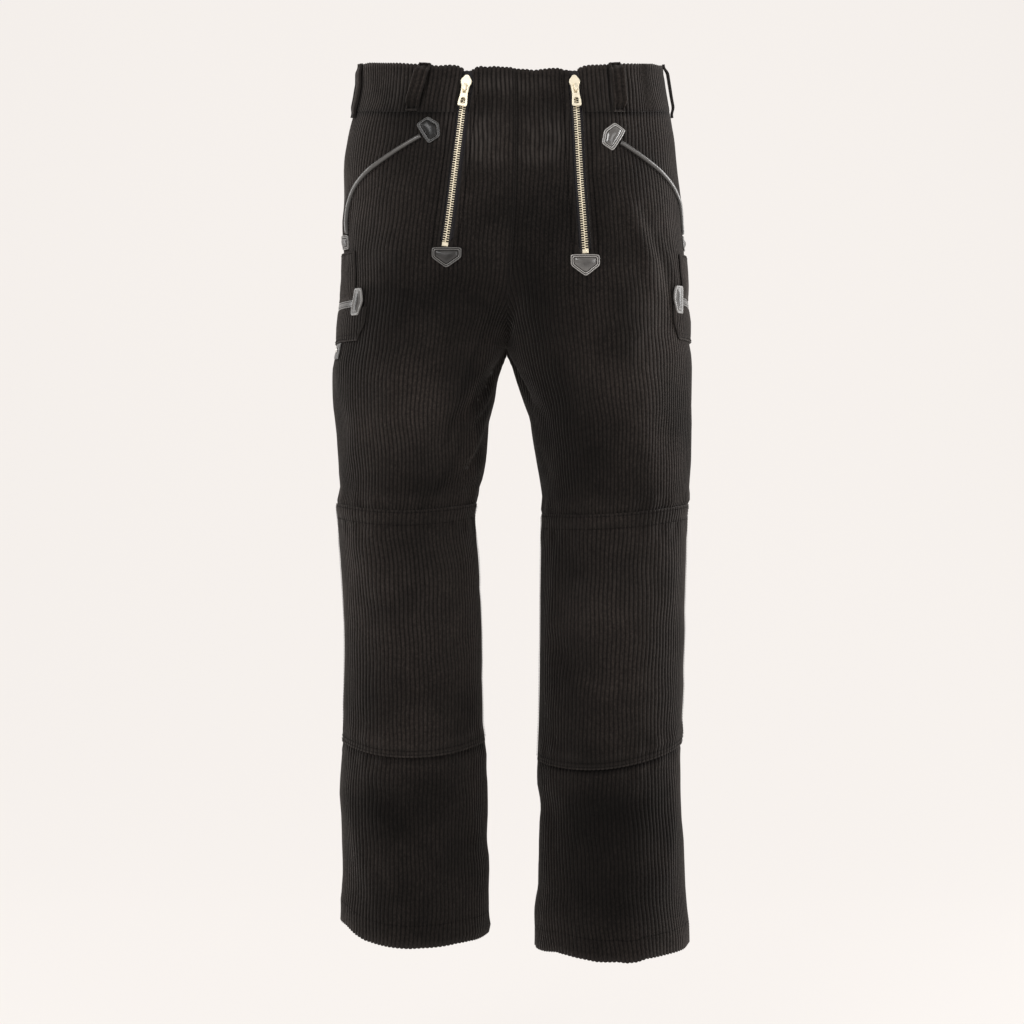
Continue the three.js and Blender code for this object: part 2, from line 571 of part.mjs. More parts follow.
// ---------------------------------------------------------------- thigh pockets, sewn round the side seam
// Where the mouth's tab starts, the mouth's height, the pocket's top and bottom, and how far its lower piece reaches to the front and back.
const THIGH = { r: { tab: 82.5, mouth: -268, top: -203, bottom: -314, nose: 107, back: -84 }, l: { tab: 68.3, mouth: -264.5, top: -206, bottom: -311, nose: 86, back: -96 } };
const MOUTH = 4.8; // half width of the mouth's leather trim
const POCKET = 2.4; // the pocket's cloth, folded at its edges
for (const side of ["r", "l"]) {
  const { tab, mouth, top, bottom, nose, back } = THIGH[side];
  const span = (a, b, n) => Array.from({ length: n + 1 }, (_, i) => a + ((b - a) * i) / n);
  const upper = (off) => span(top, mouth + MOUTH + 0.5, 3).map((z, i) => span(back, tab - 2.5, 12).map((U) => laid(side, U, z, off + (i ? 0.9 : 0))));
  add(`thigh_pocket_upper_${side}`, wall(upper(LOOSE + POCKET), upper(LOOSE)), CORD);
  // The lower piece's front corner is cut off.
  const lower = (off) => span(mouth - MOUTH - 0.5, bottom, 3).map((z, i) => span(back, nose - (i === 3 ? 11 : 0), 14).map((U) => laid(side, U, z, off)));
  add(`thigh_pocket_lower_${side}`, wall(lower(LOOSE + POCKET), lower(LOOSE)), CORD);
  add(`thigh_mouth_trim_${side}`, strip(side, [[back, mouth], [tab - 0.6, mouth]], MOUTH, LOOSE, LEATHER + 1), HIDE);
  add(`thigh_mouth_tab_${side}`, pentagon(side, tab, mouth + 1.5, 0, 17, 14.2, 5, LOOSE + POCKET + 0.5, LEATHER), HIDE);
}
// The short riveted strap that hangs from the right pocket's lower edge.
const STRAP = { U: 52, top: -315.5, bottom: -334, half: 8 };
add("thigh_strap_r", strip("r", [[STRAP.U, STRAP.top], [STRAP.U, STRAP.bottom]], STRAP.half, LOOSE + 0.8, LEATHER, 7), HIDE);

// ---------------------------------------------------------------- belt loops
const LOOP = { half: 7.4, thick: 2.4, sewn: 5, rise: 6.5 };
// U at the top and bottom of each, the gap for the belt, and how the raised part turns to stay square to the belt's way through.
const LOOPS = rows(["name", "side", "U1", "U2", "z1", "z2", "gap", "turn"], [
  ["belt_loop_front_r", "r", 139.8, 133.9, 31, -24.5, 7.8, -0.27],
  ["belt_loop_front_l", "l", 118.3, 126.2, 31, -26.5, 8.3, -0.36],
  ["belt_loop_side_r", "r", 31, 31, 31, -26, 8, 0.25],
  ["belt_loop_side_l", "l", 10, 10, 31, -26, 7.1, 0.08],
  ["belt_loop_back_r", "r", -158, -158, 31, -26, 7.6, 0.2],
  ["belt_loop_back_l", "l", -146, -146, 31, -26, 7.6, 0.2],
  ["belt_loop_back_centre", "r", -1000, -1000, 31, -26, 6.4, 0],
]);
for (const l of LOOPS) {
  const centred = l.U1 < -900, n = Math.abs(l.z2 - l.z1);
  const place = (b, z, off) => {
    if (centred) {
      const side = b > 0 ? "l" : "r";
      return laid(side, -(lengthAt(side, "back", z) - Math.abs(b)), z, off);
    }
    const k = (l.z1 - z) / n;
    return laid(l.side, l.U1 + (l.U2 - l.U1) * k + b, z, off);
  };
  const { thick, sewn, rise } = LOOP, gap = l.gap;
  const under = [[0, LAID], [sewn, LAID], [sewn + rise, gap], [n / 2, gap + 0.5], [n - sewn - rise, gap], [n - sewn, LAID], [n, LAID]];
  const over = [[0, LAID + thick], [sewn - 1.4, LAID + thick], [sewn + rise - 1.4, gap + thick], [n / 2, gap + 0.5 + thick], [n - sewn - rise + 1.4, gap + thick], [n - sewn + 1.4, LAID + thick], [n, LAID + thick]];
  const sheet = (profile) =>
    profile.map(([w, off]) => [-1, -0.33, 0.33, 1].map((k) => place(k * LOOP.half, Math.min(l.z1, l.z1 - w), off + (LAID + 0.35) + (off > gap - 1 ? l.turn * k * LOOP.half : 0))));
  add(l.name, wall(sheet(over), sheet(under)), CORD);
}

// ---------------------------------------------------------------- sliders and pull tabs
// A slider runs on the teeth; its tab hangs on a bridge and swings out and up about an axis across the zip.
const SLIDER = { height: 3.2, bridgeTop: 7.4, axis: 4.75 };
function outline(points) {
  const s = new THREE.Shape();
  points.forEach(([x, y], i) => (i ? s.lineTo(x, y) : s.moveTo(x, y)));
  s.closePath();
  return s;
}
function plate(points, z0, z1, holes = []) {
  const s = outline(points);
  for (const h of holes) s.holes.push(outline(h));
  const g = new THREE.ExtrudeGeometry(s, { depth: z1 - z0, bevelEnabled: false, curveSegments: 8 });
  return g.translate(0, 0, z0);
}
const mirrored = (half) => [...half, ...half.map(([x, y]) => [-x, y]).reverse().filter(([x]) => x !== 0)];
// Half outlines, x against y, from the top down the right.
const BODY = [[0, 15.9], [2.4, 15.2], [3.6, 13.2], [5.9, 10.4], [6.5, 7.6], [6.1, 5], [4.9, 2.6], [4.6, -2], [4.4, -5.5], [0, -5.5]];
const PULL = [[0, 1], [3.4, 1], [4.1, 0.2], [4.2, -8], [5, -14], [5.5, -19], [5.6, -21.6], [4.6, -23], [0, -23]];
const EYE = [[0, -1], [2.1, -1], [2.1, -7.2], [0, -7.2]];
const KEYHOLE = [[0, -12.6], [1.7, -13.3], [2.1, -15], [1.4, -16.4], [1.5, -19.4], [0, -19.4]];
function sliderBody() {
  const body = solid(plate(mirrored(BODY), 0, SLIDER.height));
  const arch = new THREE.Shape([[4.2, 0.5], [4.2, SLIDER.bridgeTop - 1.2], [2.9, SLIDER.bridgeTop], [-3.9, SLIDER.bridgeTop], [-5, SLIDER.bridgeTop - 1.2], [-5, 0.5]].map(([y, z]) => new THREE.Vector2(y, z)));
  arch.holes.push(new THREE.Path([[2.6, SLIDER.height], [2.6, SLIDER.bridgeTop - 1.1], [-3.6, SLIDER.bridgeTop - 1.1], [-3.6, SLIDER.height]].map(([y, z]) => new THREE.Vector2(y, z))));
  const bridge = new THREE.ExtrudeGeometry(arch, { depth: 3, bevelEnabled: false }).translate(0, 0, -1.5);
  bridge.applyMatrix4(new THREE.Matrix4().makeBasis(new THREE.Vector3(0, 1, 0), new THREE.Vector3(0, 0, 1), new THREE.Vector3(1, 0, 0)));
  return geometry(body.add(solid(bridge)));
}
function pullTab() {
  return plate(mirrored(PULL), SLIDER.axis - 0.65, SLIDER.axis + 0.65, [mirrored(EYE).reverse(), mirrored(KEYHOLE).reverse()]);
}
const PULL_Z = { r: 3, l: 3 };

for (const side of ["r", "l"]) {
  const z = PULL_Z[side], spot = (h, off) => on(side, "front", zipRound(side, h) / lengthAt(side, "front", h), h, off);
  const up = spot(z + 10, 0).sub(spot(z - 20, 0)).normalize();
  const n0 = facing(side, "front", zipRound(side, z) / lengthAt(side, "front", z), z);
  const across = up.clone().cross(n0).normalize(), n = across.clone().cross(up).normalize();
  const frame = new THREE.Matrix4().makeBasis(across, up, n).setPosition(spot(z, CHAIN_OUT + 0.45));
  add(`zip_slider_${side}`, sliderBody(), GOLD).applyMatrix4(frame);
  add(`zip_pull_${side}`, pullTab(), GOLD).applyMatrix4(frame);
}
// The box at the foot of each chain, and the rivet of the strap.
for (const side of ["r", "l"]) {
  const foot = LEVELS[side].zipEnd + (side === "r" ? 7.7 : 11.6);
  add(`zip_foot_${side}`, stud(side, zipRound(side, foot), foot, 4.4, 4.4, CHAIN_OUT + 0.4, 1.6, 4), GOLD);
}
add("strap_rivet_r", stud("r", STRAP.U, (STRAP.top + STRAP.bottom) / 2 + 1, 3, 3, 0, 1.2, 16, LOOSE + 0.8 + LEATHER + 0.4), NICKEL);

// A flat-topped stud over a panel, round or square.
function stud(side, U, z, half, high, off, thick, corners, over = null) {
  const long = lengthAt(side, "front", z), base = over === null ? on(side, "front", U / long, z, off) : laid(side, U, z, over + 0.25);
  const n = facing(side, "front", U / long, z), up = on(side, "front", U / long, z + 2).sub(on(side, "front", U / long, z - 2)).normalize();
  const across = up.clone().cross(n).normalize();
  const pts = Array.from({ length: corners }, (_, i) => {
    const a = ((i + (corners === 4 ? 0.5 : 0)) / corners) * Math.PI * 2, k = corners === 4 ? Math.SQRT2 : 1;
    return [Math.cos(a) * half * k, Math.sin(a) * high * k];
  });
  return plate(pts, 0, thick).applyMatrix4(new THREE.Matrix4().makeBasis(across, across.clone().cross(up).cross(across).normalize(), across.clone().cross(up).normalize()).setPosition(base));
}

export default trousers;
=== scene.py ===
# Journeyman trousers in wide-wale corduroy: the visual model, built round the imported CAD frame.
import bpy, math, json
import numpy as np
from mathutils import Vector, Matrix


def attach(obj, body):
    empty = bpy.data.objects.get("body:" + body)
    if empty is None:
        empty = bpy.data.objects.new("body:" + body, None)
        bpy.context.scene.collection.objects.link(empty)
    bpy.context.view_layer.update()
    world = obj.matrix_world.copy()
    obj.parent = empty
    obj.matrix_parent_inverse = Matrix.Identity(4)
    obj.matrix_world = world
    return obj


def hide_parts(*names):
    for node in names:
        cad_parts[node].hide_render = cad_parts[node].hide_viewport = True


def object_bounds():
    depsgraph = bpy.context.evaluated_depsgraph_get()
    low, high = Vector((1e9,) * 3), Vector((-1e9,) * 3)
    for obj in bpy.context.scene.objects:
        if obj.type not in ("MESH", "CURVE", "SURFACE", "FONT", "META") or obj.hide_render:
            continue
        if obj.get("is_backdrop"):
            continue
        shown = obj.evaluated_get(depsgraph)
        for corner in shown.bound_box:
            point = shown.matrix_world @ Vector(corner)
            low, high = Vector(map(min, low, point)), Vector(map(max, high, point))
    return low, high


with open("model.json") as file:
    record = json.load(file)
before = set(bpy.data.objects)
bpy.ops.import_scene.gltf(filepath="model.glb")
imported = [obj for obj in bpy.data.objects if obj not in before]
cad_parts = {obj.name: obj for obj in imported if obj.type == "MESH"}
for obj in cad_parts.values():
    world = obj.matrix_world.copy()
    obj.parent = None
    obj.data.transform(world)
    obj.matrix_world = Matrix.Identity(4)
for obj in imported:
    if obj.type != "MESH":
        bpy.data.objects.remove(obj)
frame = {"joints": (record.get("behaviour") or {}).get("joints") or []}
CAD_LO, CAD_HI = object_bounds()

# ------------------------------------------------------------------ camera
cam_data = bpy.data.cameras.new("camera")
cam = bpy.data.objects.new("camera", cam_data)
bpy.context.scene.collection.objects.link(cam)
cam.location = (0.0, -2.4, -0.5174)
cam.rotation_euler = (math.pi / 2, 0, 0)
cam_data.sensor_width = 36.0
cam_data.lens = 68.84
bpy.context.scene.camera = cam

# ------------------------------------------------------------------ sizes, in millimetres
CLOTH, SEAM = 1.8, 0.42
Z_TOP, Z_BAND, Z_CROTCH = 29.0, -26.0, -318.0
RISE_RUN, CROTCH_Y, SLIT = 105.0, 6.0, 15.0
ROUND_HIP, ROUND_LEG = 2.25, 2.1
LOOSE, LEATHER, LAID, POCKET = 0.85, 1.6, 0.35, 2.4
PATCH_OUT, PATCH_IN = 7.0, 12.0
SIGN = {"r": -1.0, "l": 1.0}
CUT = {"r": (6.8, 8.4), "l": (7.0, 7.6)}      # from the zip's line to the cloth's edge, outside and inside


def cut(side, k, z):
    """The same at a height: the cloth closes in on the slider at the top edge."""
    return CUT[side][k] - (CUT[side][k] - 4.6) * np.clip((z - 10) / 16, 0, 1) ** 1.5
LEVELS = {"r": dict(zip_end=-203.0, knee_top=-507.0, knee_bottom=-796.0, hem=-1024.0),
          "l": dict(zip_end=-216.0, knee_top=-514.0, knee_bottom=-809.0, hem=-1047.0)}
PITCH = 5.05      # from wale to wale
RIB = 1.05        # height of a wale


def table(names, rows):
    a = np.array(rows, float)
    o = np.argsort(a[:, 0])
    return {n: a[o, i] for i, n in enumerate(names)}


OUTER = table(["z", "r", "l"], [
    [40, -186, 182], [27, -186.5, 183], [-1, -189, 186.5], [-38, -196, 194], [-62, -201.5, 197.5], [-90, -206, 200.5],
    [-136, -207.5, 206.5], [-185, -206.5, 210], [-235, -205.5, 211], [-283, -208, 212.5], [-318, -213, 216],
    [-345, -219, 219.5], [-382, -221, 221], [-431, -215.5, 219.5], [-480, -211.5, 218], [-529, -211.5, 213.5],
    [-578, -207, 211.5], [-652, -204.5, 210.5], [-725, -204, 208], [-798, -207.5, 206.5], [-848, -210, 206.5],
    [-921, -208.6, 210], [-995, -209, 213.5], [-1060, -211, 218]])
INNER = table(["z", "r", "l"], [
    [-318, -7.2, -6.8], [-326, -8.6, -4.6], [-336, -12, -0.5], [-357, -19, 6], [-382, -22.5, 14], [-406, -27.5, 21.5],
    [-431, -30.5, 25.5], [-480, -37.5, 33], [-504, -43, 35.5], [-529, -45.5, 35.6], [-578, -40.8, 34.5], [-652, -38, 34.3],
    [-750, -34.5, 32], [-822, -31.2, 31], [-872, -30.2, 33.4], [-921, -29.6, 33], [-985, -29.2, 29], [-1060, -27.5, 26.5]])
DEPTH = table(["z", "front", "back", "seam"], [
    [40, -103, 102, 0], [27, -104, 103, 0], [-28, -109, 112, 0], [-80, -114, 125, 0], [-140, -117, 137, 0],
    [-200, -118, 143, 0], [-260, -116, 140, 2], [-318, -112, 129, 5], [-357, -108, 118, 6], [-406, -104, 108, 4],
    [-455, -98, 99, 1], [-504, -93, 91, -1], [-553, -90, 85, -2], [-627, -85, 82, -1], [-700, -82, 83, 1],
    [-774, -80, 85, 3], [-848, -78, 86, 4], [-921, -78, 85, 4], [-995, -80, 84, 3], [-1060, -83, 84, 2]])
HIP = table(["z", "r", "l", "centre"], [
    [40, -38, 46, 3.5], [27, -40, 47, 3.5], [-28, -52, 58, 4.5], [-112, -78, 79, 3.5], [-200, -98, 95, -0.5],
    [-260, -107, 102, -5], [-318, -110.1, 104.6, -7]])
CENTRE = table(["z", "front", "back"], [
    [40, 0.995, 0.99], [-28, 0.993, 0.985], [-120, 0.985, 0.965], [-200, 0.965, 0.945], [-318, 0.94, 0.92]])
HANG = table(["z", "front", "back"], [
    [40, 0.235, 0.17], [27, 0.232, 0.165], [-28, 0.212, 0.14], [-120, 0.14, 0.085], [-210, 0.06, 0.03], [-318, 0, 0]])
DROP = {"r": table(["z", "tilt", "sag"], [[-318, 0, 0], [-507, 0, -8.5], [-796, 0, -12], [-1024, 7, -10]]),
        "l": table(["z", "tilt", "sag"], [[-318, 0, 0], [-514, 6, -5], [-809, 11, -12], [-1047, 6, -4]])}
ZIP_X = {"r": table(["z", "x"], [[40, -51.2], [19, -52.7], [-24, -58.6], [-87, -65.6], [-152, -72.6], [-203, -78.8]]),
         "l": table(["z", "x"], [[40, 71.8], [19, 72.7], [-36, 76.2], [-113, 79.8], [-165, 83.2], [-216, 86.2]])}

# The folds of the CAD form: side, face, q1, z1, q2, z2, reach, depth.
FOLDS = [
    ("r", "front", 0.34, -262, 0.62, -243, 22, -3.2), ("r", "front", 0.62, -243, 0.93, -258, 20, -4.2),
    ("r", "front", 0.5, -292, 0.86, -276, 20, 2.6), ("r", "front", 0.93, -330, 0.62, -430, 15, -3.4),
    ("r", "front", 0.84, -332, 0.5, -430, 20, 2.8), ("r", "front", 0.92, -432, 0.62, -492, 14, -2.6),
    ("r", "front", 0.7, -548, 0.5, -566, 20, -1.8), ("r", "front", 0.42, -850, 0.5, -905, 24, -2.4),
    ("r", "front", 0.74, -912, 0.66, -960, 20, -2.0), ("r", "back", 0.55, -330, 0.96, -326, 16, -4.0),
    ("r", "back", 0.35, -372, 0.9, -352, 18, -3.2), ("r", "back", 0.25, -560, 0.8, -548, 18, -3.4),
    ("r", "back", 0.3, -610, 0.7, -596, 16, -2.6), ("r", "back", 0.4, -880, 0.62, -930, 24, -2.2),
    ("l", "front", 0.9, -196, 0.97, -300, 14, -2.4), ("l", "front", 0.96, -352, 0.8, -420, 20, -2.6),
    ("l", "front", 0.78, -392, 0.62, -376, 14, -1.8), ("l", "front", 0.32, -196, 0.2, -250, 16, 2.2),
    ("l", "front", 0.62, -575, 0.72, -590, 20, -1.8), ("l", "front", 0.82, -664, 0.55, -706, 15, -2.4),
    ("l", "front", 0.84, -772, 0.66, -756, 18, -1.8), ("l", "front", 0.6, -890, 0.72, -960, 26, -2.2),
    ("l", "back", 0.5, -332, 0.95, -324, 16, -4.0), ("l", "back", 0.3, -366, 0.85, -350, 18, -2.8),
    ("l", "back", 0.3, -556, 0.82, -566, 18, -3.2), ("l", "back", 0.25, -604, 0.7, -618, 16, -2.4),
    ("l", "back", 0.36, -900, 0.6, -950, 24, -2.0)]

# Smaller folds, placed on top of those: the same columns.
CREASES = [
    ("r", "front", 0.86, -372, 0.72, -404, 7, -1.6), ("r", "front", 0.9, -396, 0.7, -446, 9, 1.5),
    ("r", "front", 0.95, -470, 0.74, -500, 8, -1.3), ("r", "front", 0.2, -120, 0.12, -185, 12, 1.4),
    ("r", "front", 0.25, -150, 0.18, -215, 9, -1.2), ("r", "front", 0.1, -360, 0.2, -420, 20, -1.8),
    ("r", "front", 0.3, -400, 0.22, -470, 22, 1.6), ("r", "front", 0.28, -484, 0.6, -480, 10, 1.2),
    ("l", "front", 0.94, -345, 0.9, -388, 8, -1.6), ("l", "front", 0.95, -398, 0.86, -452, 9, 1.4),
    ("l", "front", 0.2, -360, 0.3, -440, 22, -1.4), ("l", "front", 0.42, -420, 0.36, -480, 20, 1.4),
    ("l", "front", 0.35, -170, 0.24, -230, 8, -1.3), ("l", "front", 0.12, -380, 0.1, -460, 14, 1.5),
    ("r", "front", 0.86, -96, 0.99, -92, 14, -1.6), ("l", "front", 0.8, -96, 0.99, -92, 14, -1.6),
    ("r", "front", 0.86, -66, 0.99, -62, 12, 1.0), ("l", "front", 0.8, -66, 0.99, -60, 12, 1.0),
    # slanting drags on the right thigh, from the crotch out to the knee
    ("r", "front", 0.97, -328, 0.84, -378, 8, -2.6), ("r", "front", 0.93, -352, 0.8, -404, 7, 2.0), ("r", "front", 0.9, -384, 0.7, -452, 8, -2.4),
    ("r", "front", 0.88, -412, 0.74, -470, 7, 1.8), ("r", "front", 0.86, -446, 0.68, -492, 7, -1.8), ("r", "front", 0.5, -330, 0.42, -420, 26, 2.4),
    ("r", "front", 0.36, -455, 0.58, -470, 16, 1.8), ("r", "front", 0.3, -300, 0.22, -360, 16, -1.6), ("r", "front", 0.7, -226, 0.96, -238, 12, 1.8),
    ("r", "front", 0.48, -208, 0.6, -232, 14, 1.4),
    # and the quieter ones on the left
    ("l", "front", 0.97, -330, 0.92, -372, 8, -2.4), ("l", "front", 0.93, -384, 0.84, -410, 8, 1.8), ("l", "front", 0.92, -416, 0.84, -470, 8, -1.6),
    ("l", "front", 0.5, -150, 0.36, -262, 12, 2.6), ("l", "front", 0.44, -150, 0.3, -250, 10, -1.8), ("l", "front", 0.4, -300, 0.5, -340, 18, 1.5),
    ("l", "front", 0.66, -300, 0.6, -380, 20, -1.5), ("l", "front", 0.5, -450, 0.72, -462, 14, 1.4),
    # round the knees and shins
    ("r", "front", 0.3, -560, 0.42, -620, 18, 1.6), ("r", "front", 0.6, -600, 0.72, -660, 16, -1.6), ("r", "front", 0.4, -690, 0.66, -704, 16, 1.4),
    ("r", "front", 0.24, -760, 0.5, -772, 16, -1.4), ("r", "front", 0.3, -822, 0.62, -838, 12, 1.8), ("r", "front", 0.34, -842, 0.6, -856, 11, -1.8),
    ("r", "front", 0.72, -850, 0.86, -900, 14, 1.8), ("r", "front", 0.2, -880, 0.3, -960, 16, 1.6), ("r", "front", 0.55, -960, 0.7, -1010, 16, 1.4),
    ("l", "front", 0.3, -560, 0.2, -640, 18, 1.6), ("l", "front", 0.78, -560, 0.84, -640, 14, 1.6), ("l", "front", 0.36, -720, 0.5, -740, 16, -1.5),
    ("l", "front", 0.4, -836, 0.7, -850, 12, 1.8), ("l", "front", 0.38, -858, 0.66, -868, 11, -1.6), ("l", "front", 0.16, -860, 0.24, -950, 14, 1.8),
    ("l", "front", 0.84, -850, 0.8, -920, 14, -1.8), ("l", "front", 0.5, -960, 0.4, -1030, 18, 1.6),
    ("r", "back", 0.3, -60, 0.8, -52, 12, -1.2), ("l", "back", 0.25, -58, 0.85, -56, 12, -1.3),
    ("r", "back", 0.6, -300, 0.95, -312, 12, 2.2), ("l", "back", 0.55, -302, 0.95, -310, 12, 2.2),
    ("r", "back", 0.62, -348, 0.95, -338, 9, 1.8), ("l", "back", 0.6, -346, 0.95, -336, 9, 1.8),
    ("r", "back", 0.4, -585, 0.75, -578, 10, 1.8), ("l", "back", 0.4, -586, 0.75, -594, 10, 1.8),
    ("r", "back", 0.2, -420, 0.35, -500, 22, -2.0), ("l", "back", 0.22, -420, 0.36, -500, 22, -2.0)]


def along(t, col, z):
    """Monotone cubic through a column, for one z."""
    zz, v = t["z"], t[col]
    if z <= zz[0]:
        return float(v[0])
    if z >= zz[-1]:
        return float(v[-1])
    k = int(np.searchsorted(zz, z, side="right")) - 1
    n = len(zz)
    k = min(k, n - 2)
    sl = (v[1:] - v[:-1]) / (zz[1:] - zz[:-1])

    def tan(i):
        if i == 0:
            return sl[0]
        if i == n - 1:
            return sl[-1]
        a, b = sl[i - 1], sl[i]
        return 0.0 if a * b <= 0 else 2 * a * b / (a + b)
    h = zz[k + 1] - zz[k]
    s = (z - zz[k]) / h
    s2, s3 = s * s, s * s * s
    return float((2 * s3 - 3 * s2 + 1) * v[k] + (s3 - 2 * s2 + s) * h * tan(k) + (3 * s2 - 2 * s3) * v[k + 1] + (s3 - s2) * h * tan(k + 1))


NQ, NSEC = 241, 110


def section(side, face, z):
    """Points of one section from side seam to centre seam or inseam, evenly by distance, and its length."""
    s, d = SIGN[side], -1.0 if face == "front" else 1.0
    xo, cy = along(OUTER, side, z), along(DEPTH, "seam", z)
    full = abs(along(DEPTH, face, z) - cy)
    if z > Z_CROTCH:
        cx = along(HIP, side, z)
        end = along(HIP, "centre", z) - s * 0.3
        t = min(max((z - Z_CROTCH) / RISE_RUN, 0), 1)
        g = math.sqrt(0.25 * t * (2 - t) + 0.75 * t * t * (3 - 2 * t))
        top, low = along(CENTRE, face, z) * full, d * (CROTCH_Y - cy)
        h = min(max(low + (top - low) * g, 0.001), 0.998 * full) / full
        reach = abs(cx - end) / math.sqrt(1 - h * h)
        last = math.acos(min(max(abs(cx - end) / reach, 0), 1))
        n = ROUND_HIP
    else:
        end = along(INNER, side, z)
        cx = (xo + end) / 2
        reach, last = abs(cx - end), 0.0
        n = ROUND_LEG + (ROUND_HIP - ROUND_LEG) * min(max(1 - (Z_CROTCH - z) / 60, 0), 1)
    outer = abs(xo - cx)
    a = np.linspace(0, math.pi / 2, NSEC)
    x1 = cx + s * outer * np.power(np.cos(a), 2 / n)
    y1 = cy + d * full * np.power(np.sin(a), 2 / n)
    x1[-1], y1[-1] = cx, cy + d * full
    b = math.pi / 2 - np.linspace(0, 1, NSEC)[1:] * (math.pi / 2 - last)
    x = np.concatenate([x1, cx - s * reach * np.cos(b)])
    y = np.concatenate([y1, cy + d * full * np.sin(b)])
    dist = np.concatenate([[0], np.cumsum(np.hypot(np.diff(x), np.diff(y)))])
    u = np.linspace(0, dist[-1], NQ)
    x, y = np.interp(u, dist, x), np.interp(u, dist, y)
    if z > Z_CROTCH:
        dz = along(HANG, face, z) * (y - cy)
    else:
        c = np.clip(s * (x - cx) / abs(xo - cx), -1, 1)
        dz = along(DROP[side], "tilt", z) * c + (along(DROP[side], "sag", z) * (1 - c * c) if face == "front" else 0)
    return np.stack([x, y, z + dz], 1), dist[-1]


ZS = np.array(sorted(set(list(np.arange(-1062, -319, 2.0)) + [-318.0, -317.98] + list(np.arange(-316, 41, 2.0)))))
LUT = {}
for side in "rl":
    for face in ("front", "back"):
        rows = [section(side, face, float(z)) for z in ZS]
        P = np.stack([r[0] for r in rows])
        L = np.array([r[1] for r in rows])
        dq = np.gradient(P, axis=1)
        dz = np.gradient(P, axis=0)
        i0 = int(np.searchsorted(ZS, -318.0))
        dz[i0], dz[i0 + 1] = P[i0] - P[i0 - 1], P[i0 + 2] - P[i0 + 1]
        N = np.cross(dq, dz)
        N /= np.linalg.norm(N, axis=2, keepdims=True) + 1e-12
        if (N[40, 60, 1] > 0) == (face == "front"):
            N = -N
        for _ in range(3):  # soften the turn at the crotch level
            N[1:-1] = N[:-2] * 0.25 + N[1:-1] * 0.5 + N[2:] * 0.25
        N /= np.linalg.norm(N, axis=2, keepdims=True) + 1e-12
        LUT[side, face] = (P, N, L)


def length(side, face, z):
    return np.interp(z, ZS, LUT[side, face][2])


def smooth01(x):
    x = np.clip(x, 0, 1)
    return x * x * (3 - 2 * x)


def folds(side, face, q, z, L):
    """How far the folds move the cloth out."""
    d = np.zeros_like(z)
    edge = np.minimum(q, 1 - q) * L
    for rows, fade, gain in ((FOLDS, smooth01(edge / 14), 1.25), (CREASES, smooth01(edge / 9), 1.3)):
        part = np.zeros_like(z)
        for s, f, q1, z1, q2, z2, reach, depth in rows:
            if s != side or f != face:
                continue
            ax, bx, px = q1 * L, q2 * L, q * L
            dx, dzz = bx - ax, z2 - z1
            t = ((px - ax) * dx + (z - z1) * dzz) / (dx * dx + dzz * dzz)
            k = np.clip(t, 0, 1)
            away = np.hypot(px - ax - k * dx, z - z1 - k * dzz) / reach
            taper = 0.35 + 0.65 * np.sin(math.pi * np.clip(0.12 + 0.76 * k, 0, 1))
            part += np.where(away < 2.6, gain * depth * taper * np.exp(-away * away), 0)
        d += part * fade
    # the uneven lie of worn cloth
    w = 0.0
    ph = {"r": 0.0, "l": 2.1}[side] + {"front": 0.0, "back": 1.3}[face]
    for kx, kz, a, p in ((0.021, 0.013, 0.55, 0.3), (0.034, -0.019, 0.4, 1.7), (0.012, 0.041, 0.35, 4.0), (0.055, 0.027, 0.22, 2.2), (0.047, -0.062, 0.16, 5.1)):
        w = w + a * np.sin(kx * q * L * 1.6 + kz * z * 1.3 + p + ph)
    return d + w * smooth01(edge / 22)


# How far the top edge in front hangs below its line, and the hems below theirs, by x (mm).
DIP = np.array([(-188, 0), (-181, -1.2), (-171, -3.5), (-134, -3.4), (-118, -2.2), (-100, -1.6), (-87, 0), (-74, -1.2), (-64, -0.6), (-60, 1.6), (-55, 4.2), (-46, 4.4), (-41, 1.0),
                (-36, 0.2), (-30, 1.4), (-21, 0.4), (-10, 1.3), (-2, 1.5), (8, 3.4), (17, 3.7), (26, 4.9), (35, 3.7), (46, 2.5), (55, 2.6), (63, 5.0), (73, 5.2), (79, 2.4), (84, 0.0), (92, -1.2),
                (103, -1.4), (129, -2.4), (168, -2.4), (178, 0), (186, 0)], float)
HEM_DIP = {"r": np.array([(-200, -3.5), (-188, 0), (-176, 2.2), (-160, 2.0), (-140, 1.2), (-122, 0.5), (-105, -1.2), (-85, -2.4), (-66, -3.4), (-50, -2.6), (-34, 0)], float),
           "l": np.array([(28, -4.8), (40, -6), (53, -9.2), (65, -8), (76, -6), (88, -4.4), (100, -2.4), (125, -1.2), (136, 1.2), (148, 1.2), (160, -1.2), (175, -0.6), (200, 0.5), (208, 1.2)], float)}


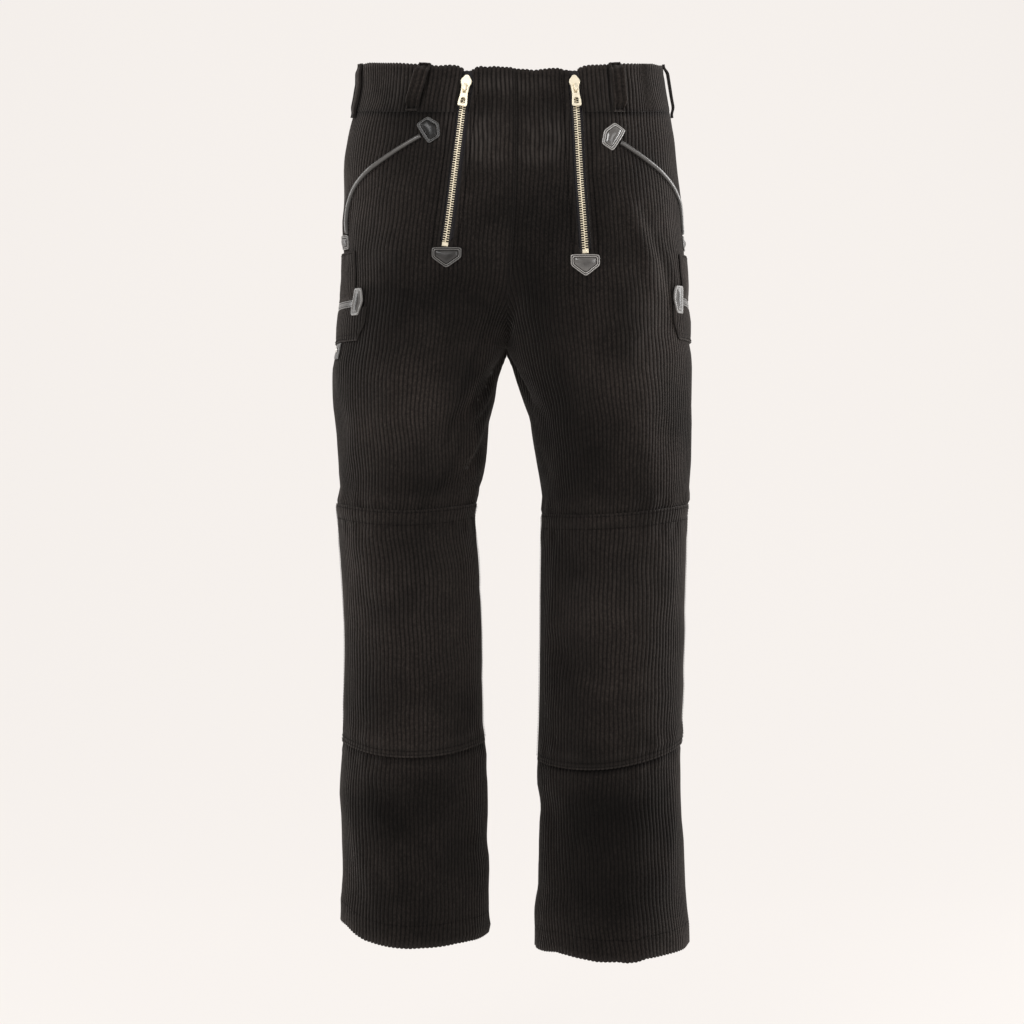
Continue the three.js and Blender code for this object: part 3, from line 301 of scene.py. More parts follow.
# How much further out (positive) the outer edge and the inseam hang than their lines, by height.
EDGE = {("r", "out"): np.array([(40, 0), (20, -1), (5, -3), (-20, -2.4), (-45, -0.6), (-100, -1.2), (-120, -2.4), (-135, -2.8), (-150, -1.6), (-165, -0.5), (-185, -0.8), (-215, -1.8), (-232, -2), (-250, -0.8), (-268, 1.2), (-290, 1.2), (-306, 0.2), (-345, 0.8), (-363, -0.5),
                            (-385, -2.1), (-402, -3.4), (-420, -2.9), (-440, -1.4), (-470, -0.4), (-488, -1.8), (-496, -1.5), (-505, 1.4), (-520, 0.3), (-536, -1.6), (-556, 0.1), (-580, 0.6), (-620, -0.4), (-655, -1.7), (-700, -1.2), (-750, -0.7), (-785, -2.6), (-800, -1),
                            (-835, -0.3), (-865, 1.1), (-890, -0.2), (-925, -0.6), (-965, -2.1), (-990, -0.8), (-1000, 0.3), (-1012, -0.8), (-1060, -1)], float),
        ("r", "in"): np.array([(-318, 0), (-345, 0.9), (-375, 0.9), (-400, -0.2), (-408, -0.9), (-425, 0), (-453, 1.5), (-475, 0.8), (-490, -1.8), (-508, -0.9), (-522, -2.1), (-545, -0.7), (-600, -1.1), (-612, -1.9), (-625, -1), (-665, -1), (-700, -1.9), (-720, -3.2), (-750, -3.1), (-776, -3.6),
                            (-795, -2), (-815, 0), (-835, -0.8), (-850, 0.2), (-885, 0), (-910, -1.5), (-922, -1.3), (-935, 0.8), (-950, 1.3), (-975, 0.4), (-1005, 0.6), (-1015, 2), (-1030, -2), (-1060, -3)], float),
        ("l", "out"): np.array([(40, 0), (-60, 0.2), (-80, -0.8), (-110, -1.5), (-131, -1.4), (-140, -0.8), (-165, -2), (-190, -1.7), (-205, -0.3), (-225, -0.3), (-255, 0.8), (-285, 2.4), (-305, 0.4), (-325, 1.6), (-345, 0.3), (-370, -1.3), (-390, -2), (-412, -1.1), (-445, -1.6), (-490, -0.9),
                            (-508, 0.3), (-520, -1.4), (-540, -1.2), (-580, -0.5), (-620, -1.3), (-645, -1.9), (-670, -0.8), (-720, -0.4), (-740, 0.7), (-760, 0.3), (-780, -0.8), (-798, 0.5), (-812, -1.2), (-850, -0.6), (-905, -1.6), (-930, -0.4), (-985, -0.9), (-1012, -0.2), (-1028, 1), (-1060, -1)], float),
        ("l", "in"): np.array([(-318, 0), (-350, -0.2), (-385, -1.5), (-399, -2.3), (-415, -1.1), (-455, -1.7), (-486, -2.7), (-510, -2), (-530, -1.9), (-570, -2.2), (-640, -1.7), (-685, -1.3), (-720, -1.9), (-765, -2.2), (-800, -1.4), (-822, -0.2), (-840, 0.4), (-855, -1.5), (-870, -2.3), (-885, -0.8), (-915, -0.2),
                            (-945, -0.8), (-972, -2.6), (-985, -0.7), (-1002, 0.7), (-1015, 0), (-1040, -1.6), (-1060, -2)], float)}
EDGE = {k: a[np.argsort(a[:, 0])] for k, a in EDGE.items()}


def on(side, U, z, off=0.0):
    """Points of the cloth's face at the distance U round from the side seam (front positive), moved out by off, and the normals."""
    U, z, off = np.broadcast_arrays(np.asarray(U, float), np.asarray(z, float), np.asarray(off, float))
    shape = U.shape
    U, z, off = U.ravel(), z.ravel(), off.ravel()
    P, N = np.zeros((U.size, 3)), np.zeros((U.size, 3))
    for face, m in (("front", U >= 0), ("back", U < 0)):
        if not m.any():
            continue
        G, GN, GL = LUT[side, face]
        zz = np.clip(z[m], ZS[0], ZS[-1])
        zi = np.interp(zz, ZS, np.arange(len(ZS)))
        L = np.interp(zz, ZS, GL)
        q = np.clip(np.abs(U[m]) / L, 0, 1)
        qi = q * (NQ - 1)
        i = np.minimum(zi.astype(int), len(ZS) - 2)
        j = np.minimum(qi.astype(int), NQ - 2)
        a, b = (zi - i)[:, None], (qi - j)[:, None]
        mix = lambda A: (A[i, j] * (1 - a) * (1 - b) + A[i + 1, j] * a * (1 - b) + A[i, j + 1] * (1 - a) * b + A[i + 1, j + 1] * a * b)
        n = mix(GN)
        n /= np.linalg.norm(n, axis=1, keepdims=True)
        p = mix(G) + n * (folds(side, face, q, zz, L) + off[m])[:, None]
        # the silhouette's own unevenness
        xo, xi = np.interp(zz, ZS, G[:, 0, 0]), np.interp(zz, ZS, G[:, -1, 0])
        wide = np.abs(xo - xi)
        ed = EDGE[side, "out"]
        p[:, 0] += SIGN[side] * np.interp(zz, ed[:, 0], ed[:, 1]) * smooth01(1 - np.abs(p[:, 0] - xo) / (0.3 * wide))
        ed = EDGE[side, "in"]
        p[:, 0] -= SIGN[side] * np.interp(zz, ed[:, 0], ed[:, 1]) * smooth01(1 - np.abs(p[:, 0] - xi) / (0.3 * wide)) * (zz < Z_CROTCH)
        h = LEVELS[side]["hem"]
        w = smooth01((h + 130 - z[m]) / 130)
        if face == "front":
            p[:, 2] -= np.interp(p[:, 0], DIP[:, 0], DIP[:, 1]) * smooth01((z[m] + 12) / 38) * smooth01(-p[:, 1] / 30)
            p[:, 2] -= np.interp(p[:, 0], HEM_DIP[side][:, 0], HEM_DIP[side][:, 1]) * w
        else:
            p[:, 2] -= np.interp(p[:, 0], HEM_DIP[side][:, 0], HEM_DIP[side][:, 1]) * w * smooth01(1 - p[:, 1] / 60)
        P[m] = p
        N[m] = n
    return P.reshape(shape + (3,)), N.reshape(shape + (3,))


def round_at_x(side, z, x):
    G = LUT[side, "front"][0]
    i = int(round(float(np.interp(z, ZS, np.arange(len(ZS))))))
    xs = G[i, :, 0] * SIGN[side]
    L = LUT[side, "front"][2][i]
    k = np.where((xs[:-1] - x * SIGN[side]) * (xs[1:] - x * SIGN[side]) <= 0)[0]
    k = k[0] if len(k) else NQ - 2
    t = (xs[k] - x * SIGN[side]) / (xs[k] - xs[k + 1])
    return (k + t) / (NQ - 1) * L


ZIP_TAB = {}
for side in "rl":
    ze = LEVELS[side]["zip_end"]
    zt = np.arange(ze, 41, 4.0)
    ZIP_TAB[side] = (zt, np.array([round_at_x(side, z, along(ZIP_X[side], "x", z)) for z in zt]))


def zip_round(side, z):
    zt, u = ZIP_TAB[side]
    return np.interp(z, zt, u)


# ------------------------------------------------------------------ materials
def new_material(name):
    m = bpy.data.materials.new(name)
    m.use_nodes = True
    nt = m.node_tree
    return m, nt, nt.nodes, nt.links, nt.nodes["Principled BSDF"]


def node(nodes, kind, **values):
    n = nodes.new(kind)
    for k, v in values.items():
        setattr(n, k, v)
    return n


def ramp(nodes, stops):
    n = nodes.new("ShaderNodeValToRGB")
    e = n.color_ramp.elements
    while len(e) < len(stops):
        e.new(0.5)
    for i, (p, c) in enumerate(stops):
        e[i].position = p
        e[i].color = (*c, 1) if len(c) == 3 else c
    return n


def corduroy(name, low, high, sheen=0.2):
    """Pile cloth: darker in the grooves, lighter on the wales, with nap, lint-fine grain, wear and painted sheen on the
    wale tops, edges painted lighter as wear and highlight, and broad painted shade and light.
    """
    m, nt, N, K, bsdf = new_material(name)
    tc = N.new("ShaderNodeTexCoord")
    wale = node(N, "ShaderNodeAttribute", attribute_name="wale")
    wear_and_highlight = node(N, "ShaderNodeAttribute", attribute_name="wear_and_highlight")
    # patches where the nap lies differently
    nap = node(N, "ShaderNodeTexNoise"); nap.inputs["Scale"].default_value = 13.0; nap.inputs["Detail"].default_value = 4.0
    K.new(tc.outputs["Object"], nap.inputs["Vector"])
    # grain of the pile, drawn out along the wales
    mp = N.new("ShaderNodeMapping"); mp.inputs["Scale"].default_value = (1500, 1500, 520)
    K.new(tc.outputs["Object"], mp.inputs["Vector"])
    grain = node(N, "ShaderNodeTexNoise"); grain.inputs["Scale"].default_value = 1.0; grain.inputs["Detail"].default_value = 3.0
    K.new(mp.outputs["Vector"], grain.inputs["Vector"])
    mp2 = N.new("ShaderNodeMapping"); mp2.inputs["Scale"].default_value = (260, 260, 700)
    K.new(tc.outputs["Object"], mp2.inputs["Vector"])
    tuft = node(N, "ShaderNodeTexNoise"); tuft.inputs["Scale"].default_value = 1.0; tuft.inputs["Detail"].default_value = 2.0
    K.new(mp2.outputs["Vector"], tuft.inputs["Vector"])
    col = ramp(N, [(0.0, low), (0.45, tuple(0.55 * a + 0.45 * b for a, b in zip(low, high))), (1.0, high)])
    K.new(wale.outputs["Fac"], col.inputs["Fac"])
    nr = ramp(N, [(0.32, (0.62, 0.62, 0.61)), (0.68, (1.38, 1.36, 1.34))])
    K.new(nap.outputs["Fac"], nr.inputs["Fac"])
    m1 = node(N, "ShaderNodeMix", data_type="RGBA", blend_type="MULTIPLY"); m1.inputs["Factor"].default_value = 1.0
    K.new(col.outputs["Color"], m1.inputs["A"]); K.new(nr.outputs["Color"], m1.inputs["B"])
    gr = ramp(N, [(0.3, (0.45, 0.45, 0.45)), (0.72, (1.65, 1.62, 1.6))])
    K.new(grain.outputs["Fac"], gr.inputs["Fac"])
    m2 = node(N, "ShaderNodeMix", data_type="RGBA", blend_type="MULTIPLY"); m2.inputs["Factor"].default_value = 0.9
    K.new(m1.outputs["Result"], m2.inputs["A"]); K.new(gr.outputs["Color"], m2.inputs["B"])
    # tufts: the pile breaks up along each wale
    mp4 = N.new("ShaderNodeMapping"); mp4.inputs["Scale"].default_value = (330, 330, 300)
    K.new(tc.outputs["Object"], mp4.inputs["Vector"])
    clump = node(N, "ShaderNodeTexNoise"); clump.inputs["Scale"].default_value = 1.0; clump.inputs["Detail"].default_value = 4.0; clump.inputs["Roughness"].default_value = 0.7
    K.new(mp4.outputs["Vector"], clump.inputs["Vector"])
    cr = ramp(N, [(0.34, (0.5, 0.5, 0.5)), (0.66, (1.5, 1.48, 1.46))])
    K.new(clump.outputs["Fac"], cr.inputs["Fac"])
    m5 = node(N, "ShaderNodeMix", data_type="RGBA", blend_type="MULTIPLY"); m5.inputs["Factor"].default_value = 0.8
    K.new(m2.outputs["Result"], m5.inputs["A"]); K.new(cr.outputs["Color"], m5.inputs["B"])
    # the shade attribute: painted shade and light along folds, seams and beside the belt loops, and broad patches that
    # are partly the lie of the nap and partly painted shade
    shade = node(N, "ShaderNodeAttribute", attribute_name="shade")
    sr = ramp(N, [(0.0, (0.1, 0.1, 0.1)), (0.25, (0.55, 0.55, 0.55)), (0.5, (1, 1, 1)), (1.0, (1.7, 1.68, 1.66))])
    K.new(shade.outputs["Fac"], sr.inputs["Fac"])
    m6 = node(N, "ShaderNodeMix", data_type="RGBA", blend_type="MULTIPLY"); m6.inputs["Factor"].default_value = 1.0
    K.new(m5.outputs["Result"], m6.inputs["A"]); K.new(sr.outputs["Color"], m6.inputs["B"])
    m3 = node(N, "ShaderNodeMix", data_type="RGBA", blend_type="MIX")
    m3.inputs["B"].default_value = (0.070, 0.061, 0.056, 1)
    # rubbed pile and painted sheen show on the wale tops, broken up along the wale; the wear attribute adds edges
    # painted lighter as wear and highlight
    rub_sheen = node(N, "ShaderNodeAttribute", attribute_name="rub_sheen")
    mp3 = N.new("ShaderNodeMapping"); mp3.inputs["Scale"].default_value = (210, 210, 42)
    K.new(tc.outputs["Object"], mp3.inputs["Vector"])
    fleck = node(N, "ShaderNodeTexNoise"); fleck.inputs["Scale"].default_value = 1.0; fleck.inputs["Detail"].default_value = 3.0
    K.new(mp3.outputs["Vector"], fleck.inputs["Vector"])
    fr = ramp(N, [(0.30, (0.1, 0.1, 0.1)), (0.74, (1, 1, 1))])
    K.new(fleck.outputs["Fac"], fr.inputs["Fac"])
    top = node(N, "ShaderNodeMath", operation="POWER"); top.inputs[1].default_value = 2.0
    K.new(wale.outputs["Fac"], top.inputs[0])
    r1 = node(N, "ShaderNodeMath", operation="MULTIPLY"); K.new(rub_sheen.outputs["Fac"], r1.inputs[0]); K.new(top.outputs[0], r1.inputs[1])
    r2 = node(N, "ShaderNodeMath", operation="MULTIPLY"); K.new(r1.outputs[0], r2.inputs[0]); K.new(fr.outputs["Color"], r2.inputs[1])
    wf = node(N, "ShaderNodeMath", operation="MULTIPLY"); wf.inputs[1].default_value = 0.5
    K.new(wear_and_highlight.outputs["Fac"], wf.inputs[0])
    r3 = node(N, "ShaderNodeMath", operation="ADD", use_clamp=True); K.new(r2.outputs[0], r3.inputs[0]); K.new(wf.outputs[0], r3.inputs[1])
    K.new(r3.outputs[0], m3.inputs["Factor"]); K.new(m6.outputs["Result"], m3.inputs["A"])
    K.new(m3.outputs["Result"], bsdf.inputs["Base Color"])
    bsdf.inputs["Roughness"].default_value = 0.92
    bsdf.inputs["Specular IOR Level"].default_value = 0.10
    bsdf.inputs["Sheen Weight"].default_value = sheen
    bsdf.inputs["Sheen Roughness"].default_value = 0.42
    bsdf.inputs["Sheen Tint"].default_value = (0.86, 0.80, 0.76, 1)
    b1 = node(N, "ShaderNodeBump"); b1.inputs["Strength"].default_value = 0.55; b1.inputs["Distance"].default_value = 0.0006
    K.new(tuft.outputs["Fac"], b1.inputs["Height"])
    b2 = node(N, "ShaderNodeBump"); b2.inputs["Strength"].default_value = 0.5; b2.inputs["Distance"].default_value = 0.0003
    K.new(grain.outputs["Fac"], b2.inputs["Height"]); K.new(b1.outputs["Normal"], b2.inputs["Normal"])
    K.new(b2.outputs["Normal"], bsdf.inputs["Normal"])
    return m


def woven(name, color, scale=900.0, rough=0.85):
    """Plain woven backing or tape."""
    m, nt, N, K, bsdf = new_material(name)
    tc = N.new("ShaderNodeTexCoord")
    w1 = node(N, "ShaderNodeTexWave", wave_type="BANDS", bands_direction="X"); w1.inputs["Scale"].default_value = scale / 6
    w2 = node(N, "ShaderNodeTexWave", wave_type="BANDS", bands_direction="Z"); w2.inputs["Scale"].default_value = scale / 5
    for w in (w1, w2):
        w.inputs["Distortion"].default_value = 0.6
        K.new(tc.outputs["Object"], w.inputs["Vector"])
    mul = node(N, "ShaderNodeMath", operation="MULTIPLY")
    K.new(w1.outputs["Fac"], mul.inputs[0]); K.new(w2.outputs["Fac"], mul.inputs[1])
    c = ramp(N, [(0.0, tuple(v * 0.6 for v in color)), (1.0, tuple(min(1, v * 1.6) for v in color))])
    K.new(mul.outputs[0], c.inputs["Fac"]); K.new(c.outputs["Color"], bsdf.inputs["Base Color"])
    bsdf.inputs["Roughness"].default_value = rough
    bsdf.inputs["Sheen Weight"].default_value = 0.15
    b = node(N, "ShaderNodeBump"); b.inputs["Strength"].default_value = 0.4; b.inputs["Distance"].default_value = 0.0003
    K.new(mul.outputs[0], b.inputs["Height"]); K.new(b.outputs["Normal"], bsdf.inputs["Normal"])
    return m


def leather(name, color, edge=0.19, rough=(0.2, 0.36), coat=0.5):
    """Smooth glossy leather with a fine grain, its rims painted lighter as wear and highlight and its grooves painted
    dark as shade.
    """
    m, nt, N, K, bsdf = new_material(name)
    tc = N.new("ShaderNodeTexCoord")
    wear_and_highlight = node(N, "ShaderNodeAttribute", attribute_name="wear_and_highlight")
    v = node(N, "ShaderNodeTexVoronoi"); v.inputs["Scale"].default_value = 1400.0
    n1 = node(N, "ShaderNodeTexNoise"); n1.inputs["Scale"].default_value = 90.0; n1.inputs["Detail"].default_value = 5.0
    for t in (v, n1):
        K.new(tc.outputs["Object"], t.inputs["Vector"])
    c = ramp(N, [(0.3, tuple(x * 0.65 for x in color)), (0.7, tuple(x * 1.5 for x in color))])
    K.new(n1.outputs["Fac"], c.inputs["Fac"])
    mix = node(N, "ShaderNodeMix", data_type="RGBA", blend_type="MIX"); mix.inputs["B"].default_value = (edge, edge * 0.95, edge * 0.9, 1)
    K.new(wear_and_highlight.outputs["Fac"], mix.inputs["Factor"]); K.new(c.outputs["Color"], mix.inputs["A"])
    # painted shade: the grooves are mixed to near black
    painted_groove_shade = node(N, "ShaderNodeAttribute", attribute_name="painted_groove_shade")
    dk = node(N, "ShaderNodeMix", data_type="RGBA", blend_type="MIX"); dk.inputs["B"].default_value = (0.002, 0.0018, 0.0017, 1)
    K.new(painted_groove_shade.outputs["Fac"], dk.inputs["Factor"]); K.new(mix.outputs["Result"], dk.inputs["A"])
    K.new(dk.outputs["Result"], bsdf.inputs["Base Color"])
    rr = ramp(N, [(0.3, (rough[0],) * 3), (0.75, (rough[1],) * 3)])
    K.new(n1.outputs["Fac"], rr.inputs["Fac"]); K.new(rr.outputs["Color"], bsdf.inputs["Roughness"])
    bsdf.inputs["Specular IOR Level"].default_value = 0.4
    bsdf.inputs["Coat Weight"].default_value = coat
    bsdf.inputs["Coat Roughness"].default_value = 0.2
    b = node(N, "ShaderNodeBump"); b.inputs["Strength"].default_value = 0.25; b.inputs["Distance"].default_value = 0.0002
    K.new(v.outputs["Distance"], b.inputs["Height"]); K.new(b.outputs["Normal"], bsdf.inputs["Normal"])
    return m


def metal(name, color, rough, metallic=1.0, grain=1.0):
    m, nt, N, K, bsdf = new_material(name)
    tc = N.new("ShaderNodeTexCoord")
    n1 = node(N, "ShaderNodeTexNoise"); n1.inputs["Scale"].default_value = 260.0; n1.inputs["Detail"].default_value = 4.0
    K.new(tc.outputs["Object"], n1.inputs["Vector"])
    c = ramp(N, [(0.3, tuple(x * (1 - 0.14 * grain) for x in color)), (0.7, tuple(min(1, x * (1 + 0.08 * grain)) for x in color))])
    K.new(n1.outputs["Fac"], c.inputs["Fac"]); K.new(c.outputs["Color"], bsdf.inputs["Base Color"])
    rr = ramp(N, [(0.3, (rough * (1 - 0.25 * grain),) * 3), (0.75, (rough * (1 + 0.4 * grain),) * 3)])
    K.new(n1.outputs["Fac"], rr.inputs["Fac"]); K.new(rr.outputs["Color"], bsdf.inputs["Roughness"])
    bsdf.inputs["Metallic"].default_value = metallic
    b = node(N, "ShaderNodeBump"); b.inputs["Strength"].default_value = 0.08 * grain; b.inputs["Distance"].default_value = 0.0001
    K.new(n1.outputs["Fac"], b.inputs["Height"]); K.new(b.outputs["Normal"], bsdf.inputs["Normal"])
    return m


LOW, HIGH = (0.0034, 0.0029, 0.0027), (0.0166, 0.0138, 0.0126)
CORD = corduroy("corduroy", LOW, HIGH)
TAPE = woven("zip_tape_weave", (0.0085, 0.0065, 0.0088))
LINEN = woven("cloth_back", (0.020, 0.017, 0.015), 700)
THREAD = woven("thread", (0.0026, 0.0023, 0.0022), 3000, 0.8)
THREAD.node_tree.nodes["Principled BSDF"].inputs["Sheen Weight"].default_value = 0.0
THREAD.node_tree.nodes["Principled BSDF"].inputs["Specular IOR Level"].default_value = 0.08
HIDE = leather("black_leather", (0.022, 0.0205, 0.0195), 0.17, (0.3, 0.45), 0.3)
# The next three are lit and shaded copies of the black leather: one painted darker as shade, one painted lighter for
# the tabs facing the light, one painted lighter for the tabs the light grazes at the sides.
HIDE_DULL_SHADED = leather("black_leather_dull_shaded", (0.0035, 0.0032, 0.003), 0.065, (0.34, 0.5), 0.1)
HIDE_LIT = leather("black_leather_polished_lit", (0.085, 0.0805, 0.0765), 0.42, (0.14, 0.24), 1.0)
HIDE_SIDE_LIT = leather("black_leather_side_lit", (0.05, 0.047, 0.0445), 0.21, (0.34, 0.5), 0.2)
GOLD = metal("pale_brass", (0.97, 0.88, 0.68), 0.4, 0.55, 0.3)
NICKEL = metal("nickel", (0.62, 0.60, 0.57), 0.28)


# ------------------------------------------------------------------ mesh helpers
def weld(V, T, mats, attrs, tol=0.004):
    key = np.round(V / tol).astype(np.int64)
    h = (key[:, 0] * 73856093) ^ (key[:, 1] * 19349663 * 7) ^ (key[:, 2] * 83492791 * 13)
    _, first, inv = np.unique(h, return_index=True, return_inverse=True)
    inv = inv.ravel()
    T = inv[T]
    ok = (T[:, 0] != T[:, 1]) & (T[:, 1] != T[:, 2]) & (T[:, 0] != T[:, 2])
    T, mats = T[ok], mats[ok]
    return V[first], T, mats, {k: a[first] for k, a in attrs.items()}


def piece(name, V, T, materials, mats=None, attrs=None, body="garment", slot="corduroy", replaces=(), smooth=60):
    """A triangle mesh from points in millimetres."""
    mats = np.zeros(len(T), int) if mats is None else mats
    used = np.zeros(len(V), bool)
    used[T.ravel()] = True
    new = np.cumsum(used) - 1
    V, T = V[used], new[T]
    attrs = {k: a[used] for k, a in (attrs or {}).items()}
    me = bpy.data.meshes.new(name)
    me.from_pydata((V * 0.001).tolist(), [], T.tolist())
    for k, a in attrs.items():
        at = me.attributes.new(k, "FLOAT", "POINT")
        at.data.foreach_set("value", np.ascontiguousarray(a, dtype=np.float32))
    for m in materials:
        me.materials.append(m)
    me.polygons.foreach_set("material_index", mats.astype(np.int32))
    me.polygons.foreach_set("use_smooth", np.ones(len(T), bool))
    me.validate()
    me.update()
    if smooth:
        me.set_sharp_from_angle(angle=math.radians(smooth))
    o = bpy.data.objects.new(name, me)
    bpy.context.scene.collection.objects.link(o)
    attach(o, body)
    if replaces:
        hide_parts(*replaces)
    return o


def grid_tris(R, C, offset=0, flip=False):
    i, j = np.meshgrid(np.arange(R - 1), np.arange(C - 1), indexing="ij")
    a = (i * C + j).ravel() + offset
    b, c, d = a + C, a + C + 1, a + 1
    T = np.concatenate([np.stack([a, b, c], 1), np.stack([a, c, d], 1)])
    return T[:, ::-1] if flip else T


def shell(outer, inner, step_i=2, step_j=3, outer_mat=0, inner_mat=1):
    """Closes a fine outer grid and a coarse inner one (the same grid, thinned) into one wall. Returns V, T, mats."""
    R, C = outer.shape[:2]
    V = np.concatenate([outer.reshape(-1, 3), inner.reshape(-1, 3)])
    T = [grid_tris(R, C)]
    mats = [np.full(len(T[0]), outer_mat)]
    ci = lambda i: np.where(i >= R - 1, R - 1, (i // step_i) * step_i)
    cj = lambda j: np.where(j >= C - 1, C - 1, (j // step_j) * step_j)
    n = lambda i, j: R * C + ci(i) * C + cj(j)
    ii = np.unique(ci(np.arange(R)))
    jj = np.unique(cj(np.arange(C)))
    I, J = np.meshgrid(np.arange(len(ii) - 1), np.arange(len(jj) - 1), indexing="ij")
    I, J = I.ravel(), J.ravel()
    a = R * C + ii[I] * C + jj[J]; b = R * C + ii[I + 1] * C + jj[J]; c = R * C + ii[I + 1] * C + jj[J + 1]; d = R * C + ii[I] * C + jj[J + 1]
    T += [np.stack([a, c, b], 1), np.stack([a, d, c], 1)]
    mats += [np.full(len(a), inner_mat)] * 2
    i = np.arange(R - 1)
    j = np.arange(C - 1)
    z, last_j, last_i = np.zeros_like(i), np.full_like(i, C - 1), np.full_like(j, R - 1)

    def rim(o0, o1, n1, n0):
        T.append(np.stack([o0, n0, n1], 1)); T.append(np.stack([o0, n1, o1], 1))
        mats.append(np.full(len(o0), outer_mat)); mats.append(np.full(len(o0), outer_mat))
    rim(i * C, (i + 1) * C, n(i + 1, z), n(i, z))
    rim((i + 1) * C + C - 1, i * C + C - 1, n(i, last_j), n(i + 1, last_j))
    zj = np.zeros_like(j)
    rim(j + 1, j, n(zj, j), n(zj, j + 1))
    rim((R - 1) * C + j, (R - 1) * C + j + 1, n(last_i, j + 1), n(last_i, j))
    return V, np.concatenate(T), np.concatenate(mats)


def cut_shell(outer, inner, cell, keep_i, keep_j, outer_mat=0, inner_mat=1):
    """The same for a grid with cells left out; keep_i and keep_j are the rows and columns the inner face keeps."""
    R, C = outer.shape[:2]
    V = np.concatenate([outer.reshape(-1, 3), inner.reshape(-1, 3)])
    i, j = np.nonzero(cell)
    a = i * C + j
    T = [np.stack([a, a + C, a + C + 1], 1), np.stack([a, a + C + 1, a + 1], 1)]
    mats = [np.full(len(a), outer_mat)] * 2
    fi = keep_i[np.searchsorted(keep_i, np.arange(R), side="right") - 1]
    fj = keep_j[np.searchsorted(keep_j, np.arange(C), side="right") - 1]
    n = lambda i, j: R * C + fi[i] * C + fj[j]
    A, B = np.meshgrid(np.arange(len(keep_i) - 1), np.arange(len(keep_j) - 1), indexing="ij")
    A, B = A.ravel(), B.ravel()
    ok = cell[keep_i[A], keep_j[B]]
    A, B = A[ok], B[ok]
    a, b, c, d = n(keep_i[A], keep_j[B]), n(keep_i[A + 1], keep_j[B]), n(keep_i[A + 1], keep_j[B + 1]), n(keep_i[A], keep_j[B + 1])
    T += [np.stack([a, c, b], 1), np.stack([a, d, c], 1)]
    mats += [np.full(len(a), inner_mat)] * 2
    pad = np.zeros((R + 1, C + 1), bool)
    pad[1:R, 1:C] = cell
    for di, dj, p0, p1 in ((0, -1, (0, 0), (1, 0)), (0, 1, (1, 1), (0, 1)), (-1, 0, (0, 1), (0, 0)), (1, 0, (1, 0), (1, 1))):
        open_side = ~pad[i + 1 + di, j + 1 + dj]
        ii, jj = i[open_side], j[open_side]
        o0, o1 = (ii + p0[0]) * C + jj + p0[1], (ii + p1[0]) * C + jj + p1[1]
        n0, n1 = n(ii + p0[0], jj + p0[1]), n(ii + p1[0], jj + p1[1])
        T += [np.stack([o0, n0, n1], 1), np.stack([o0, n1, o1], 1)]
        mats += [np.full(len(ii), outer_mat)] * 2
    return V, np.concatenate(T), np.concatenate(mats)


def join(parts):
    """Several (V, T, mats, attrs) as one."""
    V, T, M, A, k = [], [], [], {}, 0
    for v, t, m, a in parts:
        V.append(v); T.append(t + k); M.append(m)
        for n, default in (("wale", 0.0), ("wear_and_highlight", 0.0), ("rub_sheen", 0.0), ("shade", 0.5)):
            A.setdefault(n, []).append(a.get(n, np.full(len(v), default)))
        k += len(v)
    return np.concatenate(V), np.concatenate(T), np.concatenate(M), {n: np.concatenate(x) for n, x in A.items()}


def sway(side, U, z, d):
    """Wales aren't ruled lines: how far they stray sideways, none at a seam d away."""
    k = 1.7 if side == "l" else 0.0
    a = 0.55 * np.sin(z * 0.049 + U * 0.031 + k) + 0.4 * np.sin(z * 0.113 - U * 0.053 + 2.1 + k) + 0.3 * np.sin(z * 0.021 + U * 0.11 + 0.7)
    return a * smooth01((np.abs(d) - 1.0) / 9)


def rib(W):
    """Height of the pile across the wales, from 0 in a groove to 1."""
    f = np.mod(W / PITCH, 1.0)
    return np.power(np.clip(np.sin(math.pi * f), 0, 1), 0.62)


